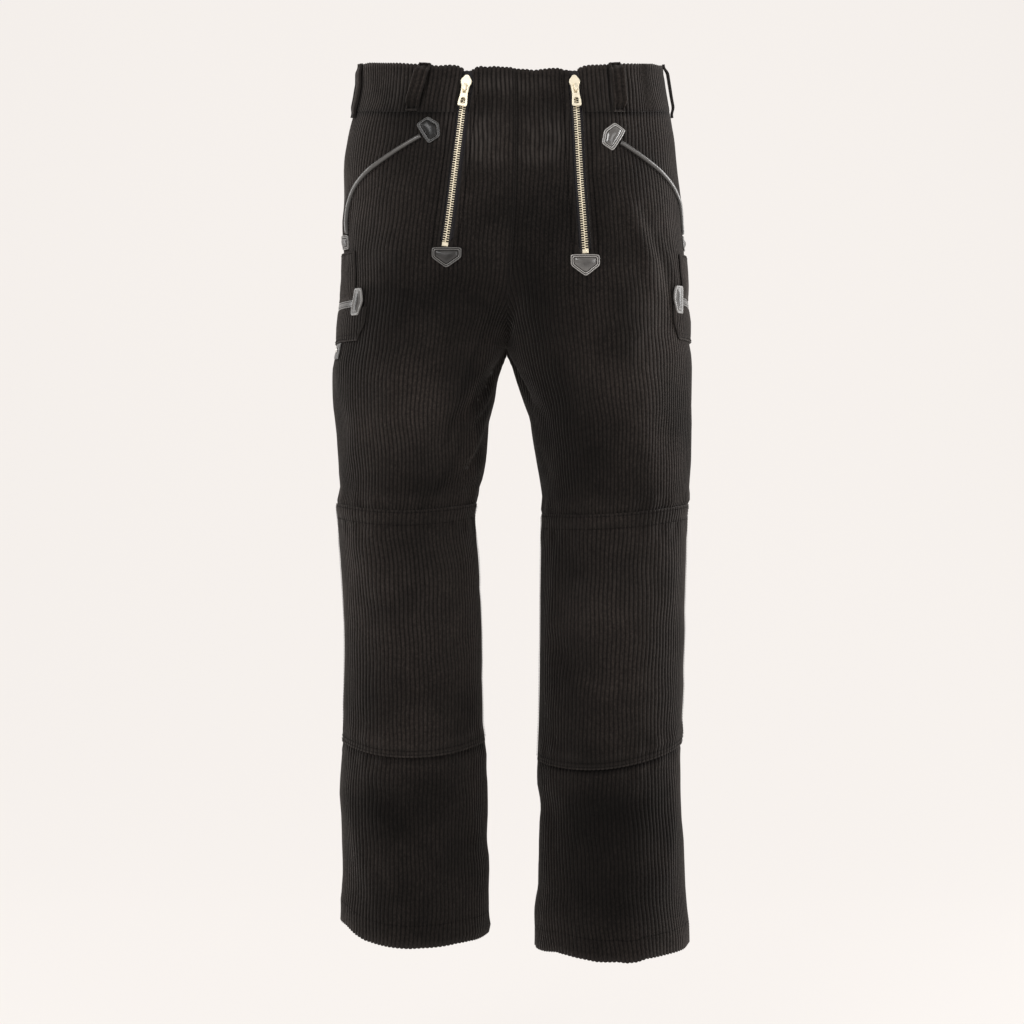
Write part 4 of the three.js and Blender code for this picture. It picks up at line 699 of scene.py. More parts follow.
def ribbed(side, zs, U_of, U0, U1, W0, W1, base=0.0, thick=CLOTH, extra=None, wear_and_highlight=None, rub_sheen=None, height=RIB, flat_edge=1.6, flat_ends=0.0, back_mat=1, scallop=(0, 0), dark=None):
    """A wall of corduroy. zs are its rows, W0 to W1 the wale coordinate it covers, and U_of(W, z) the distance round
    for a wale coordinate; U0(z) and U1(z) are its edges. extra(U, z) moves it out; the wear argument says where it is
    painted lighter, as wear and highlight, and dark(U, z) where painted shade is laid."""
    n = int(math.ceil((W1 - W0) / PITCH)) + 1
    per = 6
    J = n * per + 1
    J = J + (-(J - 1)) % 3
    Wg = W0 - (W0 % PITCH) + np.arange(J) * PITCH / per
    Z, W = np.meshgrid(zs, Wg, indexing="ij")
    U = U_of(W, Z)
    lo, hi = U0(Z), U1(Z)
    U = np.where(W >= Wg[-1] - 1e-9, hi, U)
    U = np.clip(U, np.minimum(lo, hi), np.maximum(lo, hi))
    h = rib(W)
    edge = np.minimum(np.abs(U - lo), np.abs(U - hi))
    U = U + sway(side, U, Z, edge)
    keep = smooth01(edge / flat_edge)
    if flat_ends:
        ends = np.minimum(np.abs(Z - zs[0]), np.abs(Z - zs[-1]))
        keep = keep * smooth01(0.35 + ends / flat_ends)
    off = base + height * (h * keep - 0.55) + (extra(U, Z) if extra else 0)
    Zs = Z + scallop[0] * h * np.exp(-((Z - zs[0]) / 2.5) ** 2) - scallop[1] * h * np.exp(-((Z - zs[-1]) / 2.5) ** 2)
    P, _ = on(side, U, Zs, off)
    I, _ = on(side, U, Z, base - thick)
    V, T, M = shell(P, I, inner_mat=back_mat)
    hw = np.concatenate([(h * keep).ravel(), np.full(h.size, 0.2)])
    ww = wear_and_highlight(U, Z).ravel() if wear_and_highlight else np.zeros(U.size)
    rr = rub_sheen(U, Z).ravel() if rub_sheen else rub_sheen_at(side, U, Z).ravel()
    sh = np.clip(shaded(side, U, Z) - (dark(U, Z) if dark else 0), 0, 1).ravel()
    return V, T, M, {"wale": hw, "wear_and_highlight": np.concatenate([ww, np.zeros(U.size)]), "rub_sheen": np.concatenate([rr, np.zeros(U.size)]), "shade": np.concatenate([sh, sh])}


# Where the pile is rubbed and painted lighter as sheen where it catches the light: side, U, z, reach along U, reach
# along z, strength.
RUB_SHEEN_SPOTS = [("r", 236, 10, 34, 16, 0.7), ("l", 225, 8, 30, 16, 0.6), ("r", 222, -52, 30, 24, 0.9), ("l", 212, -50, 30, 24, 0.8), ("r", 240, -84, 26, 12, 0.6), ("l", 236, -82, 30, 12, 0.7),
        ("r", 180, -20, 14, 34, 0.35), ("r", 90, 0, 60, 24, 0.3), ("l", 150, -30, 24, 50, 0.3), ("l", 90, 0, 40, 26, 0.35), ("l", 110, -260, 16, 60, 0.55), ("l", 132, -330, 20, 70, 0.4),
        ("r", 60, -120, 40, 50, 0.3), ("r", 110, -200, 50, 60, 0.2), ("l", 70, -150, 40, 60, 0.4), ("r", 150, -420, 60, 40, 0.2), ("l", 130, -600, 80, 60, 0.15), ("r", 130, -600, 80, 60, 0.15)]


# Broad patches painted darker (below zero) or lighter, in the same columns, on the front: partly the lie of the nap,
# partly painted shade and light standing in for the shading of the folds and the rim light.
NAP_SHADE_PATCHES = [("r", 235, -250, 60, 40, -0.9), ("r", 150, -262, 60, 26, -0.8), ("r", 190, -150, 30, 60, -0.5), ("r", 180, -350, 70, 60, 0.45), ("r", 120, -420, 60, 50, 0.4), ("r", 290, -400, 26, 70, -0.6),
        ("r", 140, -480, 90, 18, -0.7), ("r", 140, -640, 80, 90, 0.25), ("r", 140, -780, 100, 24, 0.35), ("r", 130, -850, 70, 40, -0.9), ("r", 150, -960, 90, 60, -0.7), ("r", 60, -900, 30, 80, 0.2),
        ("r", 215, -900, 26, 80, 0.1), ("r", 130, -1014, 120, 11, 0.5), ("r", 60, -230, 30, 60, 0.2), ("r", 100, -100, 50, 50, 0.15), ("r", 140, -930, 140, 120, -0.25), ("r", 140, -330, 90, 110, -0.35),
        ("l", 250, -250, 50, 70, -1.0), ("l", 270, -400, 60, 70, -1.2), ("l", 220, -470, 70, 40, -0.9), ("l", 190, -190, 40, 60, -0.4), ("l", 130, -330, 50, 60, 0.3), ("l", 90, -230, 40, 60, 0.35),
        ("l", 190, -560, 70, 30, -0.5), ("l", 120, -640, 60, 60, 0.2), ("l", 200, -700, 50, 60, -0.5), ("l", 120, -770, 60, 30, 0.1), ("l", 150, -860, 90, 40, -0.9), ("l", 150, -960, 90, 70, -0.8),
        ("l", 30, -650, 24, 160, 0.4), ("l", 90, -1034, 120, 11, 0.5), ("r", 24, -600, 20, 160, 0.15), ("l", 60, -900, 26, 60, -0.1), ("l", 140, -930, 140, 120, -0.55), ("l", 262, -470, 40, 160, -1.1), ("l", 262, -660, 16, 120, -0.8), ("r", 262, -660, 16, 120, -0.3), ("l", 150, -120, 90, 90, -0.22)]
# Painted shade along folds and puckers (dark below zero) and painted highlight on their ridges (above zero): side, then
# three points (U, z), half width, strength.
SHADES = [("r", (40, -292), (110, -252), (180, -272), 7, -0.5), ("r", (45, -280), (110, -240), (175, -258), 6, 0.35), ("r", (190, -256), (225, -262), (262, -276), 8, -0.6), ("r", (262, -300), (240, -362), (205, -432), 6, -0.8),
          ("r", (270, -330), (250, -384), (226, -430), 4, 0.5), ("r", (240, -402), (215, -446), (180, -486), 6, -0.7), ("r", (255, -420), (240, -450), (222, -480), 4, 0.4), ("r", (268, -352), (262, -420), (256, -490), 5, -0.6),
          ("l", (262, -330), (250, -380), (236, -430), 7, -0.5), ("l", (110, -160), (90, -220), (60, -300), 7, -0.45), ("l", (126, -165), (106, -225), (84, -290), 6, 0.4), ("l", (268, -250), (262, -300), (268, -330), 6, -0.5),
          ("l", (150, -52), (190, -58), (235, -70), 8, -0.6), ("r", (215, -88), (245, -94), (268, -98), 8, -0.4), ("l", (215, -96), (245, -92), (262, -90), 9, -0.5), ("r", (226, -70), (245, -66), (262, -66), 8, 0.35),
          ("r", (70, -536), (110, -548), (160, -544), 8, -0.3), ("l", (60, -552), (110, -566), (170, -556), 8, -0.35), ("r", (60, -700), (110, -716), (170, -700), 9, 0.3), ("r", (150, -720), (180, -742), (220, -748), 7, -0.35),
          ("l", (60, -724), (110, -736), (170, -730), 8, -0.3), ("l", (90, -700), (140, -712), (190, -700), 8, 0.25), ("r", (60, -858), (120, -878), (170, -930), 12, -0.4), ("l", (60, -856), (120, -868), (190, -858), 10, -0.45),
          ("r", (80, -912), (110, -950), (120, -990), 8, 0.3), ("l", (170, -900), (190, -940), (185, -990), 9, 0.25)]


LOOPS = [
    ("belt_loop_front_r", "r", 139.8, 133.9, 31, -24.5, 7.8, -0.27), ("belt_loop_front_l", "l", 118.3, 126.2, 31, -26.5, 8.3, -0.36),
    ("belt_loop_side_r", "r", 33, 30, 31, -35, 2.9, -0.2), ("belt_loop_side_l", "l", 10, 9, 31, -35, 4.3, 0.06),
    ("belt_loop_back_r", "r", -158, -158, 31, -26, 7.6, 0.2), ("belt_loop_back_l", "l", -146, -146, 31, -26, 7.6, 0.2),
    ("belt_loop_back_centre", "r", -1000, -1000, 31, -26, 6.4, 0)]
LOOP_HALF, LOOP_THICK, SEWN, RISE = 7.4, 2.4, 5.0, 6.5


def loop_shadow(side, U, z):
    """The dark beside each belt loop and under its foot."""
    d = np.zeros(np.shape(z))
    for _, s, u1, u2, z1, z2, _, _ in LOOPS:
        if s == side and u1 > -900:
            t = np.clip((z1 - z) / (z1 - z2), 0, 1)
            b = np.abs(U - (u1 + (u2 - u1) * t))
            d = d + 0.42 * np.exp(-((b - LOOP_HALF - 0.8) / 1.9) ** 2) * (z > z2 - 1) + 0.4 * np.exp(-((z - z2 + 1.2) / 1.8) ** 2) * smooth01((LOOP_HALF + 1.5 - b) / 1.5)
    return d


def shaded(side, U, Z):
    r = np.full(np.shape(Z), 0.0)
    for s, u, z, a, b, k in NAP_SHADE_PATCHES:
        if s == side:
            r = r + k * np.exp(-((U - u) / a) ** 2 - ((Z - z) / b) ** 2)
    for s, a, b, c, wd, k in SHADES:
        if s != side:
            continue
        t = np.linspace(0, 1, 13)[:, None]
        path = (1 - t) ** 2 * np.array(a, float) + 2 * t * (1 - t) * (2 * np.array(b, float) - (np.array(a, float) + np.array(c, float)) / 2) + t ** 2 * np.array(c, float)
        near = (np.abs(U - path[:, 0].mean()) < np.ptp(path[:, 0]) / 2 + 3 * wd) & (np.abs(Z - path[:, 1].mean()) < np.ptp(path[:, 1]) / 2 + 3 * wd)
        if not near.any():
            continue
        u, z = U[near], Z[near]
        best = np.full(u.shape, 1e9)
        for i in range(12):
            d = path[i + 1] - path[i]
            q = np.clip(((u - path[i, 0]) * d[0] + (z - path[i, 1]) * d[1]) / (d @ d), 0, 1)
            fade = 1 + 0.9 * abs((i + q) / 6 - 1) ** 2
            best = np.minimum(best, np.hypot(u - path[i, 0] - q * d[0], z - path[i, 1] - q * d[1]) * fade)
        add = np.zeros(np.shape(Z))
        add[near] = k * np.exp(-(best / wd) ** 2)
        r = r + add
    r = np.where(r < 0, np.maximum(0.25 * r, -0.3), 0.5 * r)
    return np.clip(0.5 + r, 0, 1)


def rub_sheen_at(side, U, Z):
    r = np.zeros_like(Z)
    for s, u, z, a, b, k in RUB_SHEEN_SPOTS:
        if s == side:
            r = r + k * np.exp(-((U - u) / a) ** 2 - ((Z - z) / b) ** 2)
    return r


def orient(V, T):
    """Turns a closed mesh the right way out."""
    a, b, c = V[T[:, 0]], V[T[:, 1]], V[T[:, 2]]
    return T if np.einsum("ij,ij->i", a, np.cross(b, c)).sum() > 0 else T[:, ::-1]


def finish_piece(name, parts, materials, **kw):
    V, T, M, A = join(parts)
    V, T, M, A = weld(V, T, M, A)
    T = orient(V, T)
    return piece(name, V, T, materials, M, A, **kw)


def spaced(a, b, step):
    n = max(1, int(round(abs(b - a) / step)))
    n += n % 2
    return np.linspace(a, b, n + 1)


# ------------------------------------------------------------------ the panels
KAPPA = {"front": 0.78, "back": 0.4}


def leg_gain(side, face, z):
    """Wales spread by this factor on the leg, so that some run out at each seam."""
    L = length(side, face, z)
    Lc = float(length(side, face, -345.0))
    g = np.where(z < -345, KAPPA[face] * (Lc - L) / L, 0.0)
    return g * (1 - smooth01((-560 - z) / 200)) if face == "front" else g


def rise_fill(d, z):
    """Between the legs the two halves press together along their seam."""
    return 2.0 * np.exp(-(d / 7.0) ** 2) * smooth01((-215 - z) / 40) * smooth01((z + 345) / 30)


def seam_line(d, depth, reach):
    return -depth * np.exp(-(d / reach) ** 2)


for side in "rl":
    lv = LEVELS[side]
    ze = lv["zip_end"]
    Le = float(length(side, "front", ze))
    Lf = lambda z, s=side: length(s, "front", z)
    gap_f = lambda z, s=side: np.where(z > Z_CROTCH, 0.0, SEAM / 2)
    half = SLIT / 2

    def extra_front(U, z, side=side, lv=lv, Lf=Lf, ze=ze):
        L = Lf(z)
        e = seam_line(U, 0.7, 3.0) + seam_line(L - U, 0.9, 2.6) * smooth01((z + 275) / 45) + rise_fill(L - U, z)
        d = U - zip_round(side, np.maximum(z, ze))
        d = np.where(d < 0, -d - cut(side, 0, z), d - cut(side, 1, z))
        e = e + smooth01((z - ze + 8) / 10) * (0.9 * np.exp(-(np.maximum(d, 0) / 4.0) ** 2) - 0.5 * np.exp(-((d - 8) / 2.0) ** 2)) * (np.maximum(d, 0) >= 0)
        e = e + 0.8 * np.exp(-((z - Z_TOP + 3) / 3.0) ** 2) - 0.5 * np.exp(-((z - Z_TOP + 9) / 2.0) ** 2)
        # gathers above and below the knee patch's seams, and the weight of the hem
        for zk, up, am in ((lv["knee_top"], 1, 0.9), (lv["knee_bottom"], -1, 0.8)):
            t = (z - zk) * up
            e = e + am * np.sin(U * 0.21 + 1.2 * np.sin(U * 0.037 + zk)) * smooth01(1 - np.abs(t - 7) / 16) * (t > -6)
            e = e + (1.4 if up > 0 else 0.3) * np.exp(-((t - 9) / 6.5) ** 2) - (1.2 if up > 0 else 1.0) * np.exp(-((t - 1.0) / 3.0) ** 2)
        e = e + 0.7 * np.sin(U * 0.12 + side.count("l") * 1.7) * np.exp(-((z - lv["hem"]) / 16) ** 2)
        e = e - 0.5 * np.exp(-((z - lv["hem"] - 26) / 2.0) ** 2)
        return e

    # where the front is painted lighter: the hem and top edge as wear and highlight, and a painted highlight along the
    # zip's folded edges and beside the centre seam
    def front_wear_and_highlight(U, z, side=side, lv=lv, Lf=Lf):
        w = 0.35 * np.exp(-((z - lv["hem"]) / 2.6) ** 2) + 0.25 * np.exp(-((z - Z_TOP) / 2.5) ** 2)
        d = U - zip_round(side, np.maximum(z, lv["zip_end"]))
        d = np.where(d < 0, -d - cut(side, 0, z), d - cut(side, 1, z))
        w = w + 0.4 * np.exp(-(d / 1.3) ** 2) * (z > lv["zip_end"])
        return w + 0.14 * np.exp(-((Lf(z) - U - 1.5) / 1.2) ** 2) * (z > Z_CROTCH)

    # one shell, cut open along the zip; above the waistband's seam only the flap goes on
    top = spaced(Z_TOP, Z_BAND, 6)
    mid_rows = spaced(Z_BAND, ze, 8)[1:]
    low = np.concatenate([spaced(ze, Z_CROTCH + 0.02, 7)[1:], spaced(Z_CROTCH, lv["hem"], 8)])
    zs = np.concatenate([top, mid_rows, low])
    iA, iE = len(top) - 1, len(top) - 1 + len(mid_rows)
    step = PITCH / 6
    zre = float(zip_round(side, ze))
    gain = 1 + leg_gain(side, "front", zs)
    wmax = float((Lf(zs) * gain).max()) - zre
    na = int(math.ceil(zre / step / 3)) * 3
    nb = int(math.ceil(wmax / step / 3)) * 3 + 3
    Wg = np.concatenate([np.arange(-na, 1), np.arange(0, nb + 1)]) * step
    C = len(Wg)
    Z, W = np.meshgrid(zs, Wg, indexing="ij")
    isA = (np.arange(C) <= na)[None, :] & np.ones_like(Z, bool)
    zr = zip_round(side, np.maximum(Z, ze))
    UA = np.clip(zr + W, 0, zr - cut(side, 0, Z))
    UB = np.clip(Lf(Z) - (Le - zre) + W, zr + cut(side, 1, Z), Lf(Z))
    UL = np.clip((zre + W) / gain[:, None], 0, Lf(Z))
    U = np.where(Z > ze + 1e-6, np.where(isA, UA, UB), UL)
    U = U + sway(side, U, Z, np.minimum(np.minimum(U, Lf(Z) - U), np.where(Z > ze - 12, np.maximum(np.abs(U - zr) - CUT[side][1], 0), 99)))
    up = Z > ze + 1e-6
    lo = np.where(up & ~isA, zr + cut(side, 1, Z), 0.0)
    hi = np.where(up & isA, zr - cut(side, 0, Z), Lf(Z))
    h = rib(W)
    keep = smooth01(np.minimum(U - lo, hi - U) / 1.6)
    fade = smooth01((ze + 3 - Z) / 6)
    keep = np.where(up, keep, np.maximum(keep, 0) * 1.0)
    off = RIB * (h * keep - 0.55) + extra_front(U, Z)
    Zs = Z + 1.1 * h * np.exp(-((Z - Z_TOP) / 2.5) ** 2) - 0.9 * h * np.exp(-((Z - lv["hem"]) / 2.5) ** 2)
    P, _ = on(side, U, Zs, off)
    I, _ = on(side, U, Z, -CLOTH)
    cell = np.ones((len(zs) - 1, C - 1), bool)
    cell[:iE, na] = False
    cell[:iA, :na] = False
    keep_i = np.array(sorted(set(range(0, len(zs), 2)) | {iA, iE, len(zs) - 1}))
    keep_j = np.array(sorted(set(range(0, na + 1, 3)) | set(range(na + 1, C, 3)) | {na, C - 1}))
    V, T, M = cut_shell(P, I, cell, keep_i, keep_j)
    # painted shade just above and below the knee patch with a painted highlight above its top seam, painted shade along
    # the waistband's seam, beside the centre seam and above the hem, and the painted shadows of the belt loops
    sh = shaded(side, U, Z)
    for zk, up in ((lv["knee_top"], 1), (lv["knee_bottom"], -1)):
        t = (Z - zk) * up
        sh = sh - (0.5 if up > 0 else 0.45) * np.exp(-((t - 1.0) / (2.4 if up > 0 else 3.0)) ** 2) * smooth01(np.minimum(U, Lf(Z) - U) / 8)
        sh = sh + (0.12 if up > 0 else 0.0) * np.exp(-((t - 10) / 6) ** 2)
    sh = sh - 0.5 * np.exp(-((Z - Z_BAND) / 2.2) ** 2) * (U < zr - 4)
    sh = sh - 0.16 * np.exp(-((Lf(Z) - U - 3.4) / 1.6) ** 2) * (Z > Z_CROTCH) - 0.1 * np.exp(-((Z - lv["hem"] - 15) / 9) ** 2)
    sh = np.clip(sh - loop_shadow(side, U, Z), 0, 1)
    A = {"wale": np.concatenate([(h * keep).ravel(), np.full(h.size, 0.2)]), "wear_and_highlight": np.concatenate([front_wear_and_highlight(U, Z).ravel(), np.zeros(h.size)]),
         "rub_sheen": np.concatenate([rub_sheen_at(side, U, Z).ravel(), np.zeros(h.size)]), "shade": np.concatenate([sh.ravel()] * 2)}
    front = finish_piece(f"front_panel_cloth_{side}", [(V, T, M, A)], [CORD, LINEN], replaces=[f"front_panel_{side}"])

    Lb = lambda z, s=side: length(s, "back", z)

    def extra_back(U, z, side=side, lv=lv, Lb=Lb):
        d = -U
        e = 0.8 * smooth01((11 - d) / 2.5) + seam_line(d, 1.2, 1.6) + seam_line(Lb(z) - d, 0.9, 2.4) * smooth01((z + 275) / 45) + rise_fill(Lb(z) - d, z)
        e = e + 0.7 * np.sin(d * 0.13 + 2.0 + side.count("l") * 1.1) * np.exp(-((z - lv["hem"]) / 16) ** 2)
        e = e - 0.5 * np.exp(-((z - lv["hem"] - 26) / 2.0) ** 2)
        return e
    zs = np.concatenate([spaced(Z_BAND, Z_CROTCH + 0.02, 8), spaced(Z_CROTCH, lv["hem"], 8)])
    wmax = float((Lb(zs) * (1 + leg_gain(side, "back", zs))).max())
    # the hem and the side seam's edge are painted lighter as wear and highlight
    V, T, M, A = ribbed(side, zs, lambda W, z, s=side: -W / (1 + leg_gain(s, "back", z)), lambda z: 0 * z - 1e-6, lambda z: -Lb(z), 0, wmax, extra=extra_back, scallop=(0, 0.9),
                        wear_and_highlight=lambda U, z, lv=lv: 0.45 * np.exp(-((z - lv["hem"]) / 2.6) ** 2) + 0.2 * smooth01((3 + U) / 2))
    back = finish_piece(f"back_panel_cloth_{side}", [(V, T, M, A)], [CORD, LINEN], replaces=[f"back_panel_{side}"])

    # waistband, from the zip round the side to the centre back
    zs = spaced(Z_TOP, Z_BAND, 6)
    lo = lambda z, s=side: zip_round(s, z) - cut(s, 0, z)
    hi = lambda z: -Lb(z)
    def extra_band(U, z, side=side):
        t = z - Z_TOP
        e = 0.5 + 0.8 * np.exp(-((z - Z_TOP + 3) / 3.0) ** 2) + 0.5 * np.exp(-((z - Z_BAND - 3) / 2.5) ** 2)
        e = e - 0.5 * np.exp(-((z - Z_TOP + 9) / 2.0) ** 2)
        d = zip_round(side, z) - cut(side, 0, z) - U
        e = e + 0.5 * np.exp(-(np.maximum(d, 0) / 4.0) ** 2) - 0.4 * np.exp(-((d - 8) / 2.0) ** 2)
        return e + 0.9 * np.sin(U * 0.045 + 1.0) * smooth01((Z_TOP - z) / 20) * smooth01((z - Z_BAND) / 16)
    # dark lays painted shade along the band's lower seam and beside the belt loops; the wear lambda paints the top edge
    # and seam lighter as wear and highlight
    band = ribbed(side, zs, lambda W, z, s=side: np.where(W < -60, zip_round(s, z) - float(zip_round(s, ze)) * 1.0, 0) * smooth01((-W - 60) / 60) - W, lo, hi, -float(zip_round(side, ze)), float(Lb(zs).max()) + 1, extra=extra_band, scallop=(1.1, 0), dark=lambda U, z, side=side: 0.4 * np.exp(-((z - Z_BAND - 0.5) / 2.0) ** 2) + loop_shadow(side, U, z),
                  wear_and_highlight=lambda U, z: 0.45 * np.exp(-((z - Z_TOP) / 2.2) ** 2) + 0.15 * np.exp(-((z - Z_BAND) / 2.0) ** 2))
    band = finish_piece(f"waistband_cloth_{side}", [band], [CORD, LINEN], replaces=[f"waistband_{side}"])

    # knee patch
    kt, kb = lv["knee_top"], lv["knee_bottom"]
    zs = spaced(kt, kb, 7)
    mid = lambda z: Lf(z) / 2
    def extra_knee(U, z, kt=kt, kb=kb, side=side, Lf=Lf):
        e = 0.2 * np.exp(-((z - kt) / 2.5) ** 2) + 0.5 * np.exp(-((z - kb) / 3.0) ** 2)
        e = e - 1.7 * np.exp(-((z - kt + 17 + 2.0 * np.sin(U * 0.03)) / 3.4) ** 2) * (0.45 + 0.55 * np.sin(U * 0.017 + 0.5)) + 1.0 * np.exp(-((z - kt + 9) / 5) ** 2)
        e = e - 0.6 * np.exp(-((z - kb - 7) / 1.8) ** 2) + 0.8 * np.exp(-((z - kb - 14) / 6) ** 2)
        e = e * smooth01(np.minimum(U - 4, Lf(z) - 6 - U) / 14)
        for zk, up in ((kt - 17, -1), (kb + 7, 1)):
            t = (z - zk) * up
            e = e + 0.8 * np.sin(U * 0.19 + 1.4 * np.sin(U * 0.041 + zk)) * smooth01(1 - np.abs(t - 8) / 18) * (t > -5)
        return e
    # dark lays painted shade under the top seam, along the second row of stitches and above the lower edge, and painted
    # highlight where it is below zero; the wear lambda paints the edges and stitch rows lighter as wear and highlight
    knee = ribbed(side, zs, lambda W, z: W + mid(z), lambda z: 0 * z + 4.0, lambda z: Lf(z) - 6.0, -150, 150, base=LAID + CLOTH - 0.55, thick=CLOTH, extra=extra_knee, scallop=(0.3, 0.5),
                  dark=lambda U, z, kt=kt, kb=kb: 0.34 * np.exp(-((z - kt + 17 + 2.0 * np.sin(U * 0.03)) / 2.4) ** 2) * (0.35 + 0.65 * np.sin(U * 0.017 + 0.5)) - 0.1 * np.exp(-((z - kt + 8) / 5) ** 2) + 0.15 * np.exp(-((z - kb - 7.2) / 1.5) ** 2) + 0.12 * np.exp(-((z - kt + 2.4) / 1.2) ** 2),
                  wear_and_highlight=lambda U, z, kt=kt, kb=kb: 0.30 * np.exp(-((z - kb) / 2.4) ** 2) + 0.12 * np.exp(-((z - kt) / 2.0) ** 2) + 0.1 * np.exp(-((z - kt + 13) / 2.0) ** 2) + 0.13 * np.exp(-((z - kb - 8) / 7.0) ** 2))
    knee = finish_piece(f"knee_patch_cloth_{side}", [knee], [CORD, LINEN], replaces=[f"knee_patch_{side}"])

# ------------------------------------------------------------------ leather tabs and trims
def inset_polygon(poly, d):
    """Corners of a convex polygon (counter-clockwise) moved in by d."""
    n = len(poly)
    lines = []
    for i in range(n):
        a, b = poly[i], poly[(i + 1) % n]
        t = (b - a) / np.linalg.norm(b - a)
        nrm = np.array([-t[1], t[0]])
        lines.append((a + nrm * d, t))
    out = []
    for i in range(n):
        (p, t), (q, s) = lines[i - 1], lines[i]
        m = np.array([[t[0], -s[0]], [t[1], -s[1]]])
        k = np.linalg.solve(m, q - p)
        out.append(p + t * k[0])
    return np.array(out)


def ring_points(poly, n_edge, soften):
    """Points round a polygon, with corners rounded by soften (mm)."""
    pts = []
    n = len(poly)
    for i in range(n):
        a, b = poly[i], poly[(i + 1) % n]
        for k in range(n_edge):
            pts.append(a + (b - a) * k / n_edge)
    pts = np.array(pts)
    for _ in range(soften):
        pts = (np.roll(pts, 1, 0) + 2 * pts + np.roll(pts, -1, 0)) / 4
    return pts


# Each ring: inset, height, and how much it is painted lighter, as wear and highlight on the rims; the low rings are
# painted dark as shade
TAB_PROFILE = [(-0.05, 0, .1), (0, 1.0, .3), (0.3, 1.5, .6), (0.8, 1.65, .7), (1.25, 1.5, .6), (1.5, 0.9, 0), (2.15, 0.85, 0), (2.35, 1.5, .9), (2.75, 1.65, 1.0), (3.2, 1.5, .8), (3.4, 0.9, 0), (3.95, 0.9, 0),
               (4.25, 1.5, .12), (4.8, 2.0, .08), (5.6, 2.4, .05)]
FLAT_PROFILE = [(-0.05, 0, .2), (0, 1.0, .5), (0.3, 1.5, .8), (0.9, 1.7, .7), (2.2, 1.75, .45), (2.9, 1.35, .1), (3.3, 1.35, .1), (3.7, 1.75, .4), (5.0, 1.9, .35)]


def leather_tab(name, side, U0, z0, turn, poly, base, node_name, profile=TAB_PROFILE, mat=None):
    c, s = math.cos(math.radians(turn)), math.sin(math.radians(turn))
    poly = np.array(poly, float)
    if np.cross(poly[1] - poly[0], poly[2] - poly[1]) < 0:
        poly = poly[::-1]
    rings, hs = [], []
    for d, h, _ in profile:
        rings.append(ring_points(inset_polygon(poly, max(d, 0.0)), 14, 5))
        hs.append(h)
    centre = rings[-1].mean(0)
    last = rings[-1]
    for k, up in ((0.8, 0.45), (0.58, 0.8), (0.34, 1.05), (0.12, 1.15)):
        rings.append(centre + (last - centre) * k)
        hs.append(profile[-1][1] + up)
    R, C = len(rings), len(rings[0])
    A2 = np.array(rings)
    A2 = np.concatenate([A2, A2[:, :1]], 1)
    U = U0 + A2[..., 0] * c - A2[..., 1] * s
    Z = z0 + A2[..., 0] * s + A2[..., 1] * c
    H = np.array(hs)[:, None] * np.ones(C + 1)
    P, _ = on(side, U, Z, base + H)
    Pb, _ = on(side, U[:1], Z[:1], base - 0.0)
    cp, _ = on(side, U0 + centre[0] * c - centre[1] * s, z0 + centre[0] * s + centre[1] * c, base + hs[-1] + 0.02)
    cb, _ = on(side, U0 + centre[0] * c - centre[1] * s, z0 + centre[0] * s + centre[1] * c, base)
    V = np.concatenate([P.reshape(-1, 3), cp.reshape(1, 3), cb.reshape(1, 3)])
    T = [grid_tris(R, C + 1)]
    k = (R - 1) * (C + 1)
    j = np.arange(C)
    T.append(np.stack([k + j, np.full(C, len(V) - 2), k + j + 1], 1))
    T.append(np.stack([j + 1, np.full(C, len(V) - 1), j], 1))
    T = np.concatenate(T)
    wear = np.zeros(len(V))
    for r, (d, h, k) in enumerate(profile):
        wear[r * (C + 1):(r + 1) * (C + 1)] = k
    # the low rings inside the rim are painted near black as shade
    painted_groove_shade = np.zeros(len(V))
    for r, (d, h, k) in enumerate(profile):
        painted_groove_shade[r * (C + 1):(r + 1) * (C + 1)] = 1.0 if r > 2 and h < 1.2 else 0.0
    V, T, M, A = weld(V, T, np.zeros(len(T), int), {"wear_and_highlight": wear, "painted_groove_shade": painted_groove_shade})
    T = orient(V, T)
    o = piece(name, V, T, [mat or HIDE], M, A, slot="leather_trim", replaces=[node_name], smooth=50)
    # the ring its stitches follow
    st = ring_points(inset_polygon(poly, 3.7 if profile is TAB_PROFILE else 3.1), 14, 5)
    st = np.concatenate([st, st[:1]])
    SU, SZ = U0 + st[:, 0] * c - st[:, 1] * s, z0 + st[:, 0] * s + st[:, 1] * c
    stitch_paths.append((side, SU, SZ, base + 1.0, 2.3, 0.28))
    return o


def pentagon(half, straight, point):
    return [(0, -half), (straight, -half), (straight + point, 0), (straight, half), (0, half)]


stitch_paths = []      # side, U, z, off, stitch length, radius
# the left tabs take the lit copy of the leather and the right pocket tab the shaded copy: painted light and shade
for name, side, U, z, turn, half, straight, point in [
        ("zip_end_tab", "r", 203.5, -201, -90, 17.4, 13, 13.5), ("zip_end_tab", "l", 197.8, -210, -90, 17.0, 14, 14),
        ("pocket_top_tab", "r", 156.8, -54.5, 43, 17.2, 15.3, 6.2), ("pocket_top_tab", "l", 135.6, -63, 40, 17.4, 15.5, 5.6)]:
    leather_tab(f"{name}_leather_{side}", side, U, z, turn, pentagon(half, straight, point), LOOSE - 0.3, f"{name}_{side}", mat=HIDE_LIT if side == "l" else HIDE if name == "zip_end_tab" else HIDE_DULL_SHADED)

